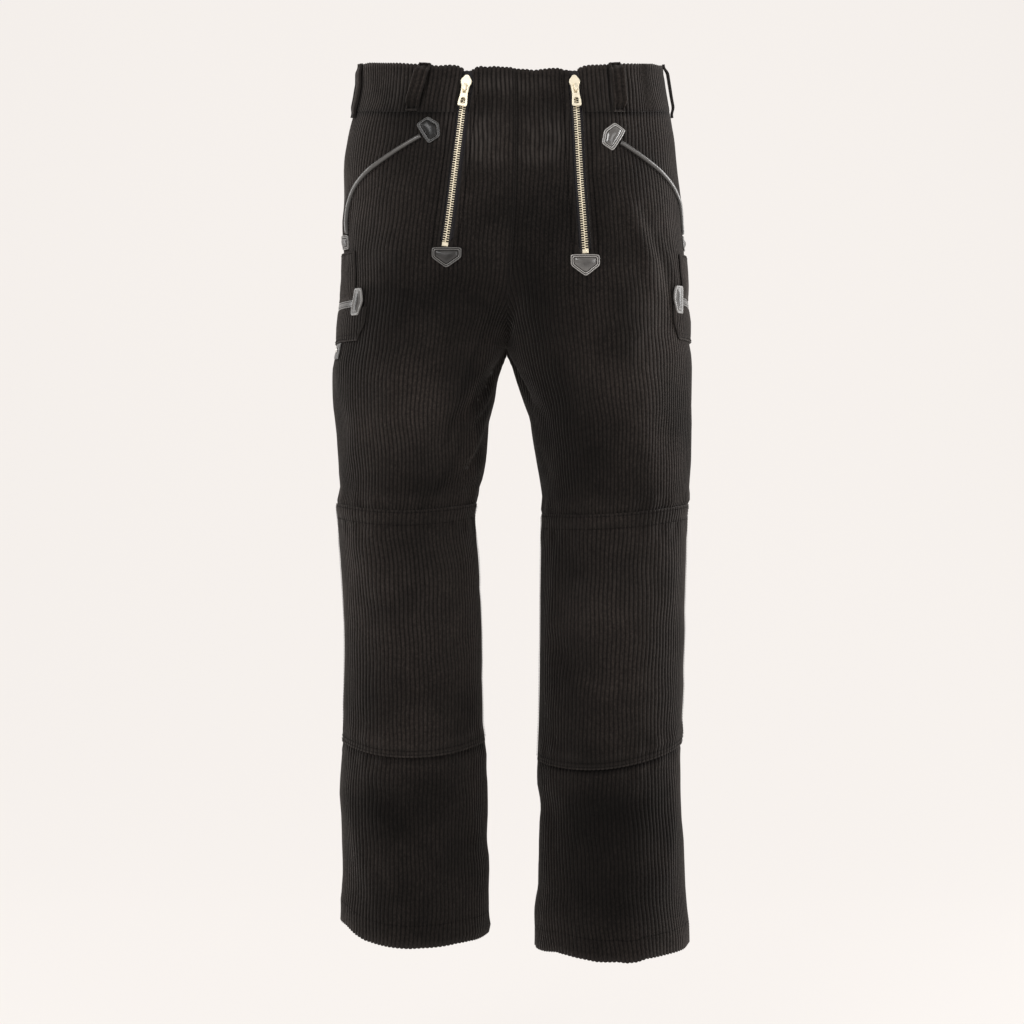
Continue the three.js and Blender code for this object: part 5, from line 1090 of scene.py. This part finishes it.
OPENING = {
    "r": [(155.4, -56), (145.3, -63.4), (133.1, -73), (114.4, -88.6), (92.2, -105.2), (72, -122), (60, -139.5), (55, -160), (53, -179.5)],
    "l": [(134.3, -64.6), (113.9, -79), (94, -93.4), (75.7, -107.4), (56.5, -123), (41, -140), (33, -159), (31, -179.5)]}
THIGH = {"r": dict(tab=82.5, mouth=-268.0, top=-203.0, bottom=-314.0, nose=107.0, back=-84.0),
         "l": dict(tab=68.3, mouth=-264.5, top=-206.0, bottom=-311.0, nose=86.0, back=-96.0)}
MOUTH = 4.8


def smooth_path(pts, step):
    """Catmull-Rom through points, resampled."""
    P = np.array(pts, float)
    P = np.concatenate([[2 * P[0] - P[1]], P, [2 * P[-1] - P[-2]]])
    out = []
    for i in range(1, len(P) - 2):
        for t in np.linspace(0, 1, 12, endpoint=False):
            a, b, c, d = P[i - 1], P[i], P[i + 1], P[i + 2]
            out.append(0.5 * ((2 * b) + (-a + c) * t + (2 * a - 5 * b + 4 * c - d) * t * t + (-a + 3 * b - 3 * c + d) * t ** 3))
    out.append(P[-2])
    out = np.array(out)
    s = np.concatenate([[0], np.cumsum(np.hypot(*np.diff(out, axis=0).T))])
    n = max(2, int(round(s[-1] / step)))
    k = np.linspace(0, s[-1], n + 1)
    return np.stack([np.interp(k, s, out[:, 0]), np.interp(k, s, out[:, 1])], 1)


def across(path):
    t = np.gradient(path, axis=0)
    t /= np.linalg.norm(t, axis=1, keepdims=True)
    return np.stack([t[:, 1], -t[:, 0]], 1)


def leather_strip(name, side, path, section, base, node_name, step=1.5, mat=None, slot="leather_trim", wear=None):
    """A strip along a path; section is (across, height) round its upper face, starting and ending on the cloth."""
    p = smooth_path(path, step) if len(path) > 2 else np.array([np.linspace(path[0][0], path[1][0], 40), np.linspace(path[0][1], path[1][1], 40)]).T
    e = across(p)
    sec = np.array(section, float)
    U = p[:, None, 0] + e[:, None, 0] * sec[None, :, 0]
    Z = p[:, None, 1] + e[:, None, 1] * sec[None, :, 0]
    n = len(p)
    ends = np.minimum(np.arange(n), np.arange(n)[::-1]) * step
    H = sec[None, :, 1] * (0.55 + 0.45 * smooth01(ends / 2.0))[:, None]
    P, _ = on(side, U, Z, base + H)
    B, _ = on(side, U, Z, base)
    V, T, M = shell(P, B, 1, 1, 0, 0)
    w = np.tile(np.array([x[2] if len(x) > 2 else 0 for x in section]), n)
    V, T, M, A = weld(V, T, M, {"wear_and_highlight": np.concatenate([w, w * 0]), "wale": np.zeros(2 * n * len(sec))})
    T = orient(V, T)
    return piece(name, V, T, [mat or HIDE], M, A, slot=slot, replaces=[node_name] if node_name else (), smooth=50)


# across, height, and how much lighter: the piping's crown is painted lighter as a highlight
PIPING = [(-3, 0.3, .1), (-2.95, 1.2, .2), (-2.5, 2.1, .3), (-1.7, 2.8, .45), (-0.8, 3.1, .5), (0.2, 3.1, .4), (1.1, 2.8, .2), (1.8, 2.2, .05), (2.1, 1.5, 0), (2.5, 1.4, .2), (2.9, 1.2, .3), (3, 0.3, .1)]
for side in "rl":
    leather_strip(f"pocket_piping_leather_{side}", side, OPENING[side], PIPING, LOOSE - 0.4, f"pocket_piping_{side}")
    p = smooth_path(OPENING[side], 2.0)
    e = across(p)
    U = OPENING[side][-1][0]
    # the side tabs and the thigh pockets' tabs take the side-lit copy of the leather: painted light
    leather_tab(f"pocket_side_tab_leather_{side}", side, U - 24, -190, 0, [(0, -9), (28, -9), (28, 9), (0, 9)], LOOSE - 0.3, f"pocket_side_tab_{side}", mat=HIDE_SIDE_LIT)
    t = THIGH[side]
    leather_tab(f"thigh_mouth_tab_leather_{side}", side, t["tab"], t["mouth"] + 1.5, 0, pentagon(17, 14.2, 5), LOOSE + POCKET + 0.3, f"thigh_mouth_tab_{side}", FLAT_PROFILE, HIDE_SIDE_LIT)
    # the third values paint the trim's rims lighter as wear and highlight
    sec = [(-4.8, 0.6, .3), (-4.7, 1.8, .5), (-4.1, 2.5, .4), (-3.2, 2.6, .2), (-2.6, 2.2, 0), (-2.0, 2.5, 0), (0, 2.8, 0), (2.0, 2.5, 0), (2.6, 2.2, 0), (3.2, 2.6, .2), (4.1, 2.5, .4), (4.7, 1.8, .5), (4.8, 0.6, .3)]
    leather_strip(f"thigh_mouth_trim_leather_{side}", side, [(t["back"], t["mouth"]), (0, t["mouth"]), (t["tab"] - 0.6, t["mouth"])], sec, LOOSE - 0.3, f"thigh_mouth_trim_{side}")

    # thigh pocket cloth
    def cloth_patch(name, node_name, z0, z1, u0, u1, base, corner=0.0, swell=0.0):
        zs = spaced(z0, z1, 5)
        hi = lambda z: u1 - corner * smooth01((z0 + (z1 - z0) * 0.45 - z) / abs((z1 - z0) * 0.55)) if corner else 0 * z + u1
        def ex(U, z):
            a = np.minimum(np.minimum(z0 - z, z - z1), np.minimum(U - u0, hi(z) - U))
            e = 0.5 * smooth01(a / 3) - 0.6 * np.exp(-((a - 5.5) / 1.3) ** 2) * (z < z1 + 20) + swell * smooth01(a / 22)
            return e
        # the pocket's lower and front edges are painted lighter as wear and highlight
        w = lambda U, z: 0.5 * np.exp(-(np.minimum(z - z1, hi(z) - U) / 1.8) ** 2)
        part = ribbed(side, zs, lambda W, z: W, lambda z: 0 * z + u0, hi, u0, u1 + 2, base=base, thick=POCKET - 0.6, extra=ex, wear_and_highlight=w)
        o = finish_piece(name, [part], [CORD, LINEN], replaces=[node_name])
        return zs, hi
    cloth_patch(f"thigh_pocket_upper_cloth_{side}", f"thigh_pocket_upper_{side}", t["top"], t["mouth"] + MOUTH + 0.5, t["back"], t["tab"] - 2.5, LOOSE + POCKET - 0.3, swell=1.2)
    cloth_patch(f"thigh_pocket_lower_cloth_{side}", f"thigh_pocket_lower_{side}", t["mouth"] - MOUTH - 0.5, t["bottom"], t["back"], t["nose"], LOOSE + POCKET - 0.3, corner=11.0, swell=0.6)

# the riveted strap under the right pocket
STRAP = dict(U=52.0, top=-315.5, bottom=-334.0, half=8.0)
# the third values paint the strap's rims lighter as wear and highlight
leather_strip("thigh_strap_leather", "r", [(STRAP["U"], STRAP["top"]), (STRAP["U"] + 0.2, -325), (STRAP["U"], STRAP["bottom"])],
              [(-8, 0.4, .3), (-7.9, 1.2, .6), (-7.2, 1.7, .5), (-6.2, 1.6, .1), (-5.7, 1.3, 0), (-5.1, 1.6, 0), (0, 1.9, 0), (5.1, 1.6, 0), (5.7, 1.3, 0), (6.2, 1.6, .1), (7.2, 1.7, .5), (7.9, 1.2, .6), (8, 0.4, .3)],
              LOOSE + 0.7, "thigh_strap_r")

# ------------------------------------------------------------------ belt loops
for name, side, U1, U2, z1, z2, gap, turn in LOOPS:
    n = abs(z2 - z1)
    prof = np.array([(0, 0.35), (SEWN, 0.35), (SEWN + RISE, gap), (n / 2, gap + 0.5), (n - SEWN - RISE, gap), (n - SEWN, 0.35), (n, 0.35)])
    # an even, rounded path through the profile
    w = np.linspace(0, n, 61)
    o = np.interp(w, prof[:, 0], prof[:, 1])
    for _ in range(6):
        o[1:-1] = (o[:-2] + 2 * o[1:-1] + o[2:]) / 4
    sl = np.gradient(o, w)
    nx, ny = -sl / np.hypot(1, sl), 1 / np.hypot(1, sl)
    B = np.linspace(-LOOP_HALF, LOOP_HALF, 37)
    wale = rib((B + LOOP_HALF) + 0.01)
    edge = smooth01((LOOP_HALF - np.abs(B)) / 1.4)

    def place(w, b, off, side=side, U1=U1, U2=U2, z1=z1, z2=z2, n=n):
        z = np.minimum(z1, z1 - w)
        if U1 < -900:
            out = np.zeros(w.shape + (3,))
            for s, m in (("l", b > 0), ("r", b <= 0)):
                Ls = length(s, "back", z)
                P, _ = on(s, -(Ls - np.abs(b)), z, off)
                out[m] = P[m]
            return out
        P, _ = on(side, U1 + (U2 - U1) * w / n + b, z, off)
        return P
    W2, B2 = np.meshgrid(w, B, indexing="ij")
    raised = smooth01((o - 1.5) / 3)[:, None] * turn * B2
    roll = np.exp(-((np.abs(B) - 6.0) / 0.9) ** 2) - 0.9 * np.exp(-((np.abs(B) - 4.2) / 0.7) ** 2)
    thick = LOOP_THICK * (0.55 + 0.45 * edge)[None, :] + 0.5 * (wale * edge)[None, :] - 0.2 + 0.55 * roll[None, :]
    fold = np.minimum(w, n - w)
    out = place(W2 + nx[:, None] * thick, B2, o[:, None] + 0.7 + ny[:, None] * thick + raised)
    inn = place(W2, B2, o[:, None] + 0.7 + raised)
    V, T, M = shell(out, inn, 1, 1, 0, 0)
    wa = np.tile(wale * edge, len(w))
    # painted shade at the loop's feet, along its edges and in the groove inside each rolled edge, a painted highlight
    # on the rolled edges, and the edges and folds painted lighter as wear and highlight
    shadow = 0.6 - 0.32 * np.repeat(np.exp(-((w - 3.5) / 3.0) ** 2) + np.exp(-((n - w - 3.5) / 3.5) ** 2), len(B)) - 0.1 * np.tile(1 - edge, len(w)) + 0.22 * np.tile(np.maximum(roll, 0), len(w)) - 0.4 * np.tile(np.maximum(-roll, 0), len(w))
    wear_and_highlight = np.tile(0.35 * (1 - edge), len(w)) + np.repeat(0.3 * np.exp(-(fold / 1.5) ** 2), len(B))
    V, T, M, A = weld(V, T, M, {"wale": np.concatenate([wa, wa]), "wear_and_highlight": np.concatenate([wear_and_highlight, wear_and_highlight * 0.5]), "shade": np.clip(np.concatenate([shadow] * 2), 0, 1), "rub_sheen": np.zeros(2 * len(wa))})
    T = orient(V, T)
    piece(name + "_cloth", V, T, [CORD], M, A, replaces=[name], smooth=50)
    for b in (-LOOP_HALF + 1.6, LOOP_HALF - 1.6):
        k = slice(2, -2)
        P = place(w[k] + nx[k] * 2.6, np.full(len(w[k]), b), o[k] + 0.7 + ny[k] * 2.75 + smooth01((o[k] - 1.5) / 3) * turn * b)
        stitch_paths.append(("points", P, None, 0, 2.6, 0.3))
    for wz in (SEWN - 2.4, n - SEWN + 2.4):
        bb = np.linspace(-LOOP_HALF + 1, LOOP_HALF - 1, 12)
        P = place(np.full(12, wz), bb, np.full(12, 0.35 + 0.7 + 2.55))
        stitch_paths.append(("points", P, None, 0, 1.2, 0.34))

# ------------------------------------------------------------------ zips
TEETH, TAPE_OUT, CHAIN_OUT = 2.85, -3.1, -0.7


def tube_box(c, ex, ey, ez, sx, sy, sz, bev):
    """A bevelled block: centre, axes and half sizes."""
    pts, tris = [], []
    xs = [-1, -1 + bev / sx, 1 - bev / sx, 1]
    for layer, k in ((-1, bev), (-1 + bev / sz, 0), (1 - bev / sz, 0), (1, bev)):
        for px, py in ((-sx + k, -sy + k), (sx - k, -sy + k), (sx - k, sy - k), (-sx + k, sy - k)):
            pts.append(c + ex * px + ey * py + ez * sz * layer)
    for r in range(3):
        for q in range(4):
            a, b = r * 4 + q, r * 4 + (q + 1) % 4
            tris += [(a, b, b + 4), (a, b + 4, a + 4)]
    tris += [(0, 2, 1), (0, 3, 2), (12, 13, 14), (12, 14, 15)]
    return np.array(pts), np.array(tris)


def many(parts):
    V, T, k = [], [], 0
    for v, t in parts:
        V.append(v); T.append(t + k); k += len(v)
    return np.concatenate(V), np.concatenate(T)


for side in "rl":
    ze = LEVELS[side]["zip_end"]
    zz = np.linspace(27.5, ze - 6, 90)
    wcols = np.array([-13, -12.6, -9, -6.2, -5.8, -4.2, -3.8, 0, 3.8, 4.2, 5.8, 6.2, 9, 12.6, 13])
    bump = np.array([0, 0.1, 0.1, 0.1, 0.5, 0.6, 0.3, 0.2, 0.3, 0.6, 0.5, 0.1, 0.1, 0.1, 0])
    Z2, W2 = np.meshgrid(zz, wcols, indexing="ij")
    U2 = zip_round(side, Z2) + W2
    P, _ = on(side, U2, Z2, TAPE_OUT + 0.2 + bump[None, :])
    I, _ = on(side, U2, Z2, TAPE_OUT - 0.5)
    V, T, M = shell(P, I, 1, 1, 0, 0)
    V, T, M, A = weld(V, T, M, {"wear_and_highlight": np.zeros(len(V)), "wale": np.zeros(len(V))})
    T = orient(V, T)
    tape = piece(f"zip_tape_cloth_{side}", V, T, [TAPE], M, A, slot="zip_tape", replaces=[f"zip_tape_{side}"], smooth=50)
    # the teeth
    zf = np.arange(27.5, ze - 8, -0.5)
    mid, _ = on(side, zip_round(side, zf), zf, CHAIN_OUT - 1.3)
    s = np.concatenate([[0], np.cumsum(np.linalg.norm(np.diff(mid, axis=0), axis=1))])
    top = float(np.interp(18.0, zf[::-1], s[::-1]))
    end = float(np.interp(ze + (8.0 if side == "r" else 11.5), zf[::-1], s[::-1]))
    teeth = []
    k = 0
    dist = top
    while dist < end:
        z = float(np.interp(dist, s, zf))
        sgn = 1 if k % 2 else -1
        c0, n0 = on(side, float(zip_round(side, z)), z, CHAIN_OUT - 1.25)
        c1, _ = on(side, float(zip_round(side, z - 1)), z - 1, CHAIN_OUT - 1.25)
        n0 = n0.reshape(3); ey = (c0 - c1).reshape(3); ey /= np.linalg.norm(ey)
        ex = np.cross(ey, n0); ex /= np.linalg.norm(ex)
        n0 = np.cross(ex, ey)
        c0 = c0.reshape(3)
        teeth.append(tube_box(c0 + ex * sgn * 1.95, ex, ey, n0, 1.7, 0.46, 1.15, 0.16))
        teeth.append(tube_box(c0 + ex * sgn * 0.3 + n0 * 0.2, ex, ey, n0, 0.75, 0.7, 1.2, 0.2))
        dist += TEETH / 2
        k += 1
    V, T = many(teeth)
    piece(f"zip_teeth_{side}", V, orient(V, T), [GOLD], slot="gold_metal", smooth=35)

SLIDER_H, BRIDGE, AXIS = 3.2, 7.4, 4.75
BODY = [(0, 15.9), (2.4, 15.2), (3.6, 13.2), (5.9, 10.4), (6.5, 7.6), (6.1, 5), (4.9, 2.6), (4.6, -2), (4.4, -5.5), (0, -5.5)]
PULL = [(0, 1), (3.4, 1), (4.1, 0.2), (4.2, -8), (5, -14), (5.5, -19), (5.6, -21.6), (4.6, -23), (0, -23)]
EYE = [(0, -1.0), (2.1, -1.0), (2.1, -7.2), (0, -7.2)]
KEYHOLE = [(0, -12.4), (1.9, -13.2), (2.9, -15.6), (2.6, -17.6), (2.7, -19.9), (0, -20.2)]


def mirrored(h):
    return list(h) + [(-x, y) for x, y in reversed(h) if x]


def soften_outline(pts, n=4):
    """Rounds an outline's corners a little."""
    P = np.array(pts, float)
    for _ in range(2):
        Q = []
        m = len(P)
        for i in range(m):
            a, b = P[i], P[(i + 1) % m]
            Q += [a * 0.8 + b * 0.2, a * 0.2 + b * 0.8]
        P = np.array(Q)
    return P


def plate_mesh(name, outlines, depth, bevel):
    """A bevelled plate from 2D outlines, the first its edge and the rest its holes, as V, T in millimetres, centred on z = 0."""
    cu = bpy.data.curves.new(name, "CURVE")
    cu.dimensions = "2D"
    cu.fill_mode = "BOTH"
    cu.extrude = depth / 2 - bevel
    cu.bevel_depth = bevel
    cu.bevel_resolution = 2
    cu.offset = -bevel
    for k, o in enumerate(outlines):
        sp = cu.splines.new("POLY")
        sp.points.add(len(o) - 1)
        for i, (x, y) in enumerate(o):
            sp.points[i].co = (x, y, 0, 1)
        sp.use_cyclic_u = True
    ob = bpy.data.objects.new(name, cu)
    me = bpy.data.meshes.new_from_object(ob)
    bpy.data.objects.remove(ob)
    me.calc_loop_triangles()
    V = np.array([v.co[:] for v in me.vertices])
    T = np.array([t.vertices[:] for t in me.loop_triangles])
    bpy.data.meshes.remove(me)
    bpy.data.curves.remove(cu)
    return V, T


for side in "rl":
    z = 3.0
    pa, _ = on(side, float(zip_round(side, z + 10)), z + 10)
    pb, _ = on(side, float(zip_round(side, z - 20)), z - 20)
    # the slider's frame, along the chain; its origin from the pull's hinge in model.json when that is given
    G, n0 = on(side, float(zip_round(side, z)), z, CHAIN_OUT + 0.45)
    up = (pa - pb).reshape(3); up /= np.linalg.norm(up)
    ex = np.cross(up, n0.reshape(3)); ex /= np.linalg.norm(ex)
    nn = np.cross(ex, up)
    j = [x for x in frame["joints"] if x["name"] == f"zip_pull_{side}_swing"]
    hinge = np.array(j[0]["pos_m"]) * 1000 if j and "pos_m" in j[0] else None
    origin = G.reshape(3)
    if hinge is not None:
        origin = hinge - nn * AXIS
    to = lambda V: origin + V[:, :1] * ex + V[:, 1:2] * up + V[:, 2:3] * nn
    # body: one waisted plate with a crowned top, and the bridge
    V1, T1 = plate_mesh("slider", [soften_outline(mirrored(BODY))], SLIDER_H, 0.7)
    V1 = V1 + [0, 0, SLIDER_H / 2]
    crown = np.maximum(0, 1 - (np.hypot(V1[:, 0] / 6.5, (V1[:, 1] - 7.0) / 9.5)) ** 2)
    V1[:, 2] += np.where(V1[:, 2] > SLIDER_H / 2, 0.5 * crown, 0)
    arch = [(4.3, 0.8), (4.3, BRIDGE - 2.1), (3.8, BRIDGE - 0.9), (2.7, BRIDGE), (-3.7, BRIDGE), (-4.7, BRIDGE - 0.9), (-5.1, BRIDGE - 2.1), (-5.1, 0.8), (-3.7, 0.8), (-3.7, BRIDGE - 2.2), (-3.0, BRIDGE - 1.2), (2.1, BRIDGE - 1.2), (2.9, BRIDGE - 2.2), (2.9, 0.8)]
    V2, T2 = plate_mesh("bridge", [np.array(arch)], 3.0, 0.35)
    V2 = V2[:, [2, 0, 1]]
    V, T = many([(V1, T1), (V2, T2)])
    piece(f"zip_slider_metal_{side}", to(V), T, [GOLD], slot="gold_metal", replaces=[f"zip_slider_{side}"], smooth=40)
    V, T = plate_mesh("pull", [soften_outline(mirrored(PULL)), soften_outline(mirrored(EYE)), soften_outline(mirrored(KEYHOLE))], 1.4, 0.34)
    V = V + [0, 0, AXIS]
    piece(f"zip_pull_metal_{side}", to(V), T, [GOLD], body=f"pull_{side}", slot="gold_metal", replaces=[f"zip_pull_{side}"], smooth=40)
    # the box at the foot of the chain
    zf = LEVELS[side]["zip_end"] + (7.7 if side == "r" else 11.6)
    c, n0 = on(side, float(zip_round(side, zf)), zf, CHAIN_OUT + 0.4)
    c2, _ = on(side, float(zip_round(side, zf + 3)), zf + 3, CHAIN_OUT + 0.4)
    ey = (c2 - c).reshape(3); ey /= np.linalg.norm(ey)
    e1 = np.cross(ey, n0.reshape(3)); e1 /= np.linalg.norm(e1); n1 = np.cross(e1, ey)
    V, T = tube_box(c.reshape(3) + n1 * 0.6 - ey * 1.6, e1, ey, n1, 3.7, 2.5, 1.1, 0.6)
    V2, T2 = tube_box(c.reshape(3) + n1 * 1.0 - ey * 1.6, e1, ey, n1, 2.2, 1.6, 1.0, 0.4)
    V, T = many([(V, T), (V2, T2)])
    piece(f"zip_foot_metal_{side}", V, orient(V, T), [GOLD], slot="gold_metal", replaces=[f"zip_foot_{side}"], smooth=35)

# rivet
zr = (STRAP["top"] + STRAP["bottom"]) / 2 + 1
c, n0 = on("r", STRAP["U"], zr, LOOSE + 0.8 + LEATHER + 0.35)
c, n0 = c.reshape(3), n0.reshape(3)
up = np.array([0, 0, 1.0]); e1 = np.cross(up, n0); e1 /= np.linalg.norm(e1); up = np.cross(n0, e1)
prof = [(3.1, 0.0), (3.15, 0.35), (2.9, 0.75), (2.3, 1.05), (1.5, 1.25), (0.7, 1.35), (0.05, 1.38)]
V = [c + (e1 * math.cos(a) + up * math.sin(a)) * r + n0 * h for r, h in prof for a in np.linspace(0, 2 * math.pi, 29)[:-1]]
V = np.array(V + [c])
C = 28
T = []
for r in range(len(prof) - 1):
    for q in range(C):
        a, b = r * C + q, r * C + (q + 1) % C
        T += [(a, b, b + C), (a, b + C, a + C)]
for q in range(C):
    T.append((q, len(V) - 1, (q + 1) % C))
T = np.array(T)
piece("strap_rivet_metal", V, orient(V, T), [NICKEL], slot="nickel", replaces=["strap_rivet_r"], smooth=40)

# ------------------------------------------------------------------ stitching
def row(side, U, z, off, length=3.4, r=0.3):
    stitch_paths.append((side, np.asarray(U, float), np.asarray(z, float), off, length, r))


for side in "rl":
    lv = LEVELS[side]
    f = lambda z: length(side, "front", z)
    b = lambda z: length(side, "back", z)
    out = LAID + CLOTH + 0.55
    kt, kb = lv["knee_top"], lv["knee_bottom"]
    for dz in (-2.6, -17.0):
        u = np.linspace(6, float(f(kt)) - 8, 120); row(side, u, 0 * u + kt + dz, out + (0.2 if dz > -5 else -0.3))
    for dz in (2.6, 7.2):
        u = np.linspace(6, float(f(kb)) - 8, 120); row(side, u, 0 * u + kb + dz, out)
    zz = np.linspace(kt - 3, kb + 3, 140)
    row(side, 0 * zz + 6.5, zz, out); row(side, f(zz) - 8.5, zz, out)
    # felled side seam: two rows on the back
    zz = np.linspace(Z_BAND - 3, lv["hem"] + 3, 480)
    row(side, 0 * zz - 2.6, zz, 0.85); row(side, 0 * zz - 8.8, zz, 0.85)
    # hem
    for face, sgn, L in (("front", 1, f), ("back", -1, b)):
        u = sgn * np.linspace(3, float(L(lv["hem"])) - 3, 150); row(side, u, 0 * u + lv["hem"] + 26, 0.25)
    # waistband edges
    u = np.linspace(float(zip_round(side, Z_TOP)) - 11, 0.5, 110); row(side, u, 0 * u + Z_TOP - 6, 0.15); row(side, u, 0 * u + Z_BAND + 2.8, 0.35)
    u = -np.linspace(0.5, float(b(0)) - 2, 130); row(side, u, 0 * u + Z_TOP - 6, 0.15); row(side, u, 0 * u + Z_BAND + 2.8, 0.35)
    # along the zip's opening
    zz = np.linspace(Z_TOP - 3, lv["zip_end"] + 2, 110)
    row(side, zip_round(side, zz) + SLIT / 2 + 7.5, zz, 0.25)
    zz = np.linspace(Z_BAND - 3, lv["zip_end"] + 2, 90)
    row(side, zip_round(side, zz) - SLIT / 2 - 7.5, zz, 0.25)
    # beside the pocket's piping, and the line of the pocket bag below it
    p = smooth_path(OPENING[side], 2.0); e = across(p)
    row(side, p[:, 0] - e[:, 0] * 5.2, p[:, 1] - e[:, 1] * 5.2, 0.35)
    bag = smooth_path([(160, -83), (143, -98), (126, -113), (104, -127), (82, -139)] if side == "r" else [(140, -92), (122, -106), (103, -121), (80, -135), (58, -147)], 2.0)
    row(side, bag[:, 0], bag[:, 1], 0.15, 3.0, 0.26)
    # thigh pocket: two rows along its foot, one up its front edge
    t = THIGH[side]
    o = LOOSE + POCKET + 0.35
    for dz in (2.2, 7.0):
        u = np.linspace(t["back"] + 3, t["nose"] - 14, 70); row(side, u, 0 * u + t["bottom"] + dz, o)
    zz = np.linspace(t["mouth"] - MOUTH - 4, t["bottom"] + 26, 14); row(side, 0 * zz + t["nose"] - 2.8, zz, o)
    u = np.linspace(t["back"] + 3, t["tab"] - 5, 60); row(side, u, 0 * u + t["top"] - 2.6, o + 0.2)
    zz = np.linspace(t["top"] - 3, t["bottom"] + 3, 40); row(side, 0 * zz + t["back"] + 2.6, zz, o)
    # leather trim
    u = np.linspace(t["back"] + 2, t["tab"] - 2, 60); row(side, u, 0 * u + t["mouth"] + 2.6, LOOSE + 2.0, 2.4, 0.26); row(side, u, 0 * u + t["mouth"] - 2.6, LOOSE + 2.0, 2.4, 0.26)
# centre back and centre front seams
zz = np.linspace(Z_BAND - 3, Z_CROTCH + 60, 110)
row("l", -(length("l", "back", zz) - 3.2), zz, 0.3); row("l", -(length("l", "back", zz) - 7.6), zz, 0.3)
zz = np.linspace(Z_TOP - 3, Z_CROTCH + 60, 130)
row("l", length("l", "front", zz) - 3.0, zz, 0.1, 3.4, 0.24)


def capsule(a, b, n, r):
    """One stitch from a to b, half sunk along the normal n."""
    t = b - a
    L = np.linalg.norm(t)
    t = t / L
    s = np.cross(t, n); s /= np.linalg.norm(s) + 1e-9
    m = np.cross(s, t)
    V = []
    for f, k, d in ((0.0, 0.35, -0.5), (0.18, 0.95, 0.0), (0.5, 1.0, 0.25), (0.82, 0.95, 0.0), (1.0, 0.35, -0.5)):
        c = a + t * L * f + m * d * r
        for q in range(5):
            ang = q * 2 * math.pi / 5 + 0.3
            V.append(c + (s * math.cos(ang) + m * math.sin(ang)) * r * k)
    T = []
    for i in range(4):
        for q in range(5):
            x, y = i * 5 + q, i * 5 + (q + 1) % 5
            T += [(x, y, y + 5), (x, y + 5, x + 5)]
    T += [(0, 2, 1), (0, 3, 2), (0, 4, 3), (20, 21, 22), (20, 22, 23), (20, 23, 24)]
    return np.array(V), np.array(T)


groups = {}
for side, U, z, off, sl, r in stitch_paths:
    if isinstance(side, str) and side == "points":
        P = U
        N = None
        key = "loops"
    else:
        P, N = on(side, U, z, off)
        key = "front_" + side if np.mean(U) >= 0 else "back_" + side
    s = np.concatenate([[0], np.cumsum(np.linalg.norm(np.diff(P, axis=0), axis=1))])
    k = 0.4
    while k + sl < s[-1]:
        a = np.array([np.interp(k, s, P[:, c]) for c in range(3)])
        b2 = np.array([np.interp(k + sl * 0.82, s, P[:, c]) for c in range(3)])
        if N is None:
            n = a * np.array([1, 1.4, 0.0]); n = n / (np.linalg.norm(n) + 1e-9)
        else:
            n = np.array([np.interp(k, s, N[:, c]) for c in range(3)])
        groups.setdefault(key, []).append(capsule(a, b2, n, r))
        k += sl
for key, parts in groups.items():
    V, T = many(parts)
    piece(f"stitches_{key}", V, orient(V, T), [THREAD], slot="corduroy", smooth=0)

# ------------------------------------------------------------------ studio
def stage_mesh(name, V, F, mat):
    me = bpy.data.meshes.new(name)
    me.from_pydata(V, [], F)
    me.materials.append(mat)
    for p in me.polygons:
        p.use_smooth = True
    o = bpy.data.objects.new(name, me)
    bpy.context.scene.collection.objects.link(o)
    o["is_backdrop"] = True
    return o


m, nt, N, K, bsdf = new_material("studio_paper")
BG = (0.922, 0.880, 0.847)
bsdf.inputs["Base Color"].default_value = (0.09, 0.086, 0.083, 1)
bsdf.inputs["Roughness"].default_value = 0.9
bsdf.inputs["Specular IOR Level"].default_value = 0.1
bsdf.inputs["Emission Color"].default_value = (*BG, 1)
bsdf.inputs["Emission Strength"].default_value = 0.892
prof = [(-6.0, 0.0), (1.2, 0.0)] + [(1.2 + 1.4 * math.sin(a), 1.4 - 1.4 * math.cos(a)) for a in np.linspace(0.1, math.pi / 2, 14)] + [(2.6, 6.0)]
FLOOR = -1.24
V = [(x, y, FLOOR + z) for y, z in prof for x in (-7, 7)]
F = [(2 * i, 2 * i + 1, 2 * i + 3, 2 * i + 2) for i in range(len(prof) - 1)]
stage_mesh("studio_floor", V, F, m)


def area(name, loc, target, size, power, color=(1, 1, 1)):
    d = bpy.data.lights.new(name, "AREA")
    d.shape = "RECTANGLE"
    d.size, d.size_y = size
    d.energy = power
    d.color = color
    o = bpy.data.objects.new(name, d)
    bpy.context.scene.collection.objects.link(o)
    o.location = loc
    o.rotation_euler = (Vector(target) - Vector(loc)).to_track_quat("-Z", "Y").to_euler()
    return o


area("key", (-1.3, -2.6, 1.7), (0, 0, -0.4), (1.5, 1.5), 62)
area("fill", (1.9, -2.4, 0.6), (0, 0, -0.5), (1.6, 2.0), 22)
area("rim_right", (2.2, 0.4, 0.2), (0.1, 0, -0.5), (0.9, 2.2), 62)
area("rim_left", (-2.2, 0.5, 0.2), (-0.1, 0, -0.5), (0.8, 2.2), 26)
world = bpy.data.worlds.new("studio")
bpy.context.scene.world = world
world.use_nodes = True
bg = world.node_tree.nodes["Background"]
bg.inputs["Color"].default_value = (*BG, 1)
bg.inputs["Strength"].default_value = 0.34
bpy.context.scene.view_settings.view_transform = "Standard"
bpy.context.scene.view_settings.look = "None"

tri = {o.name: sum(len(q.vertices) - 2 for q in o.data.polygons) for o in bpy.context.scene.objects if o.type == "MESH" and o.get("tt_keep") is None}
print("TRIS", sum(tri.values()), sorted(tri.items(), key=lambda x: -x[1])[:12])
lo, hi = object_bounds()
{"cad": [list(CAD_LO), list(CAD_HI)], "visual": [list(lo), list(hi)]}
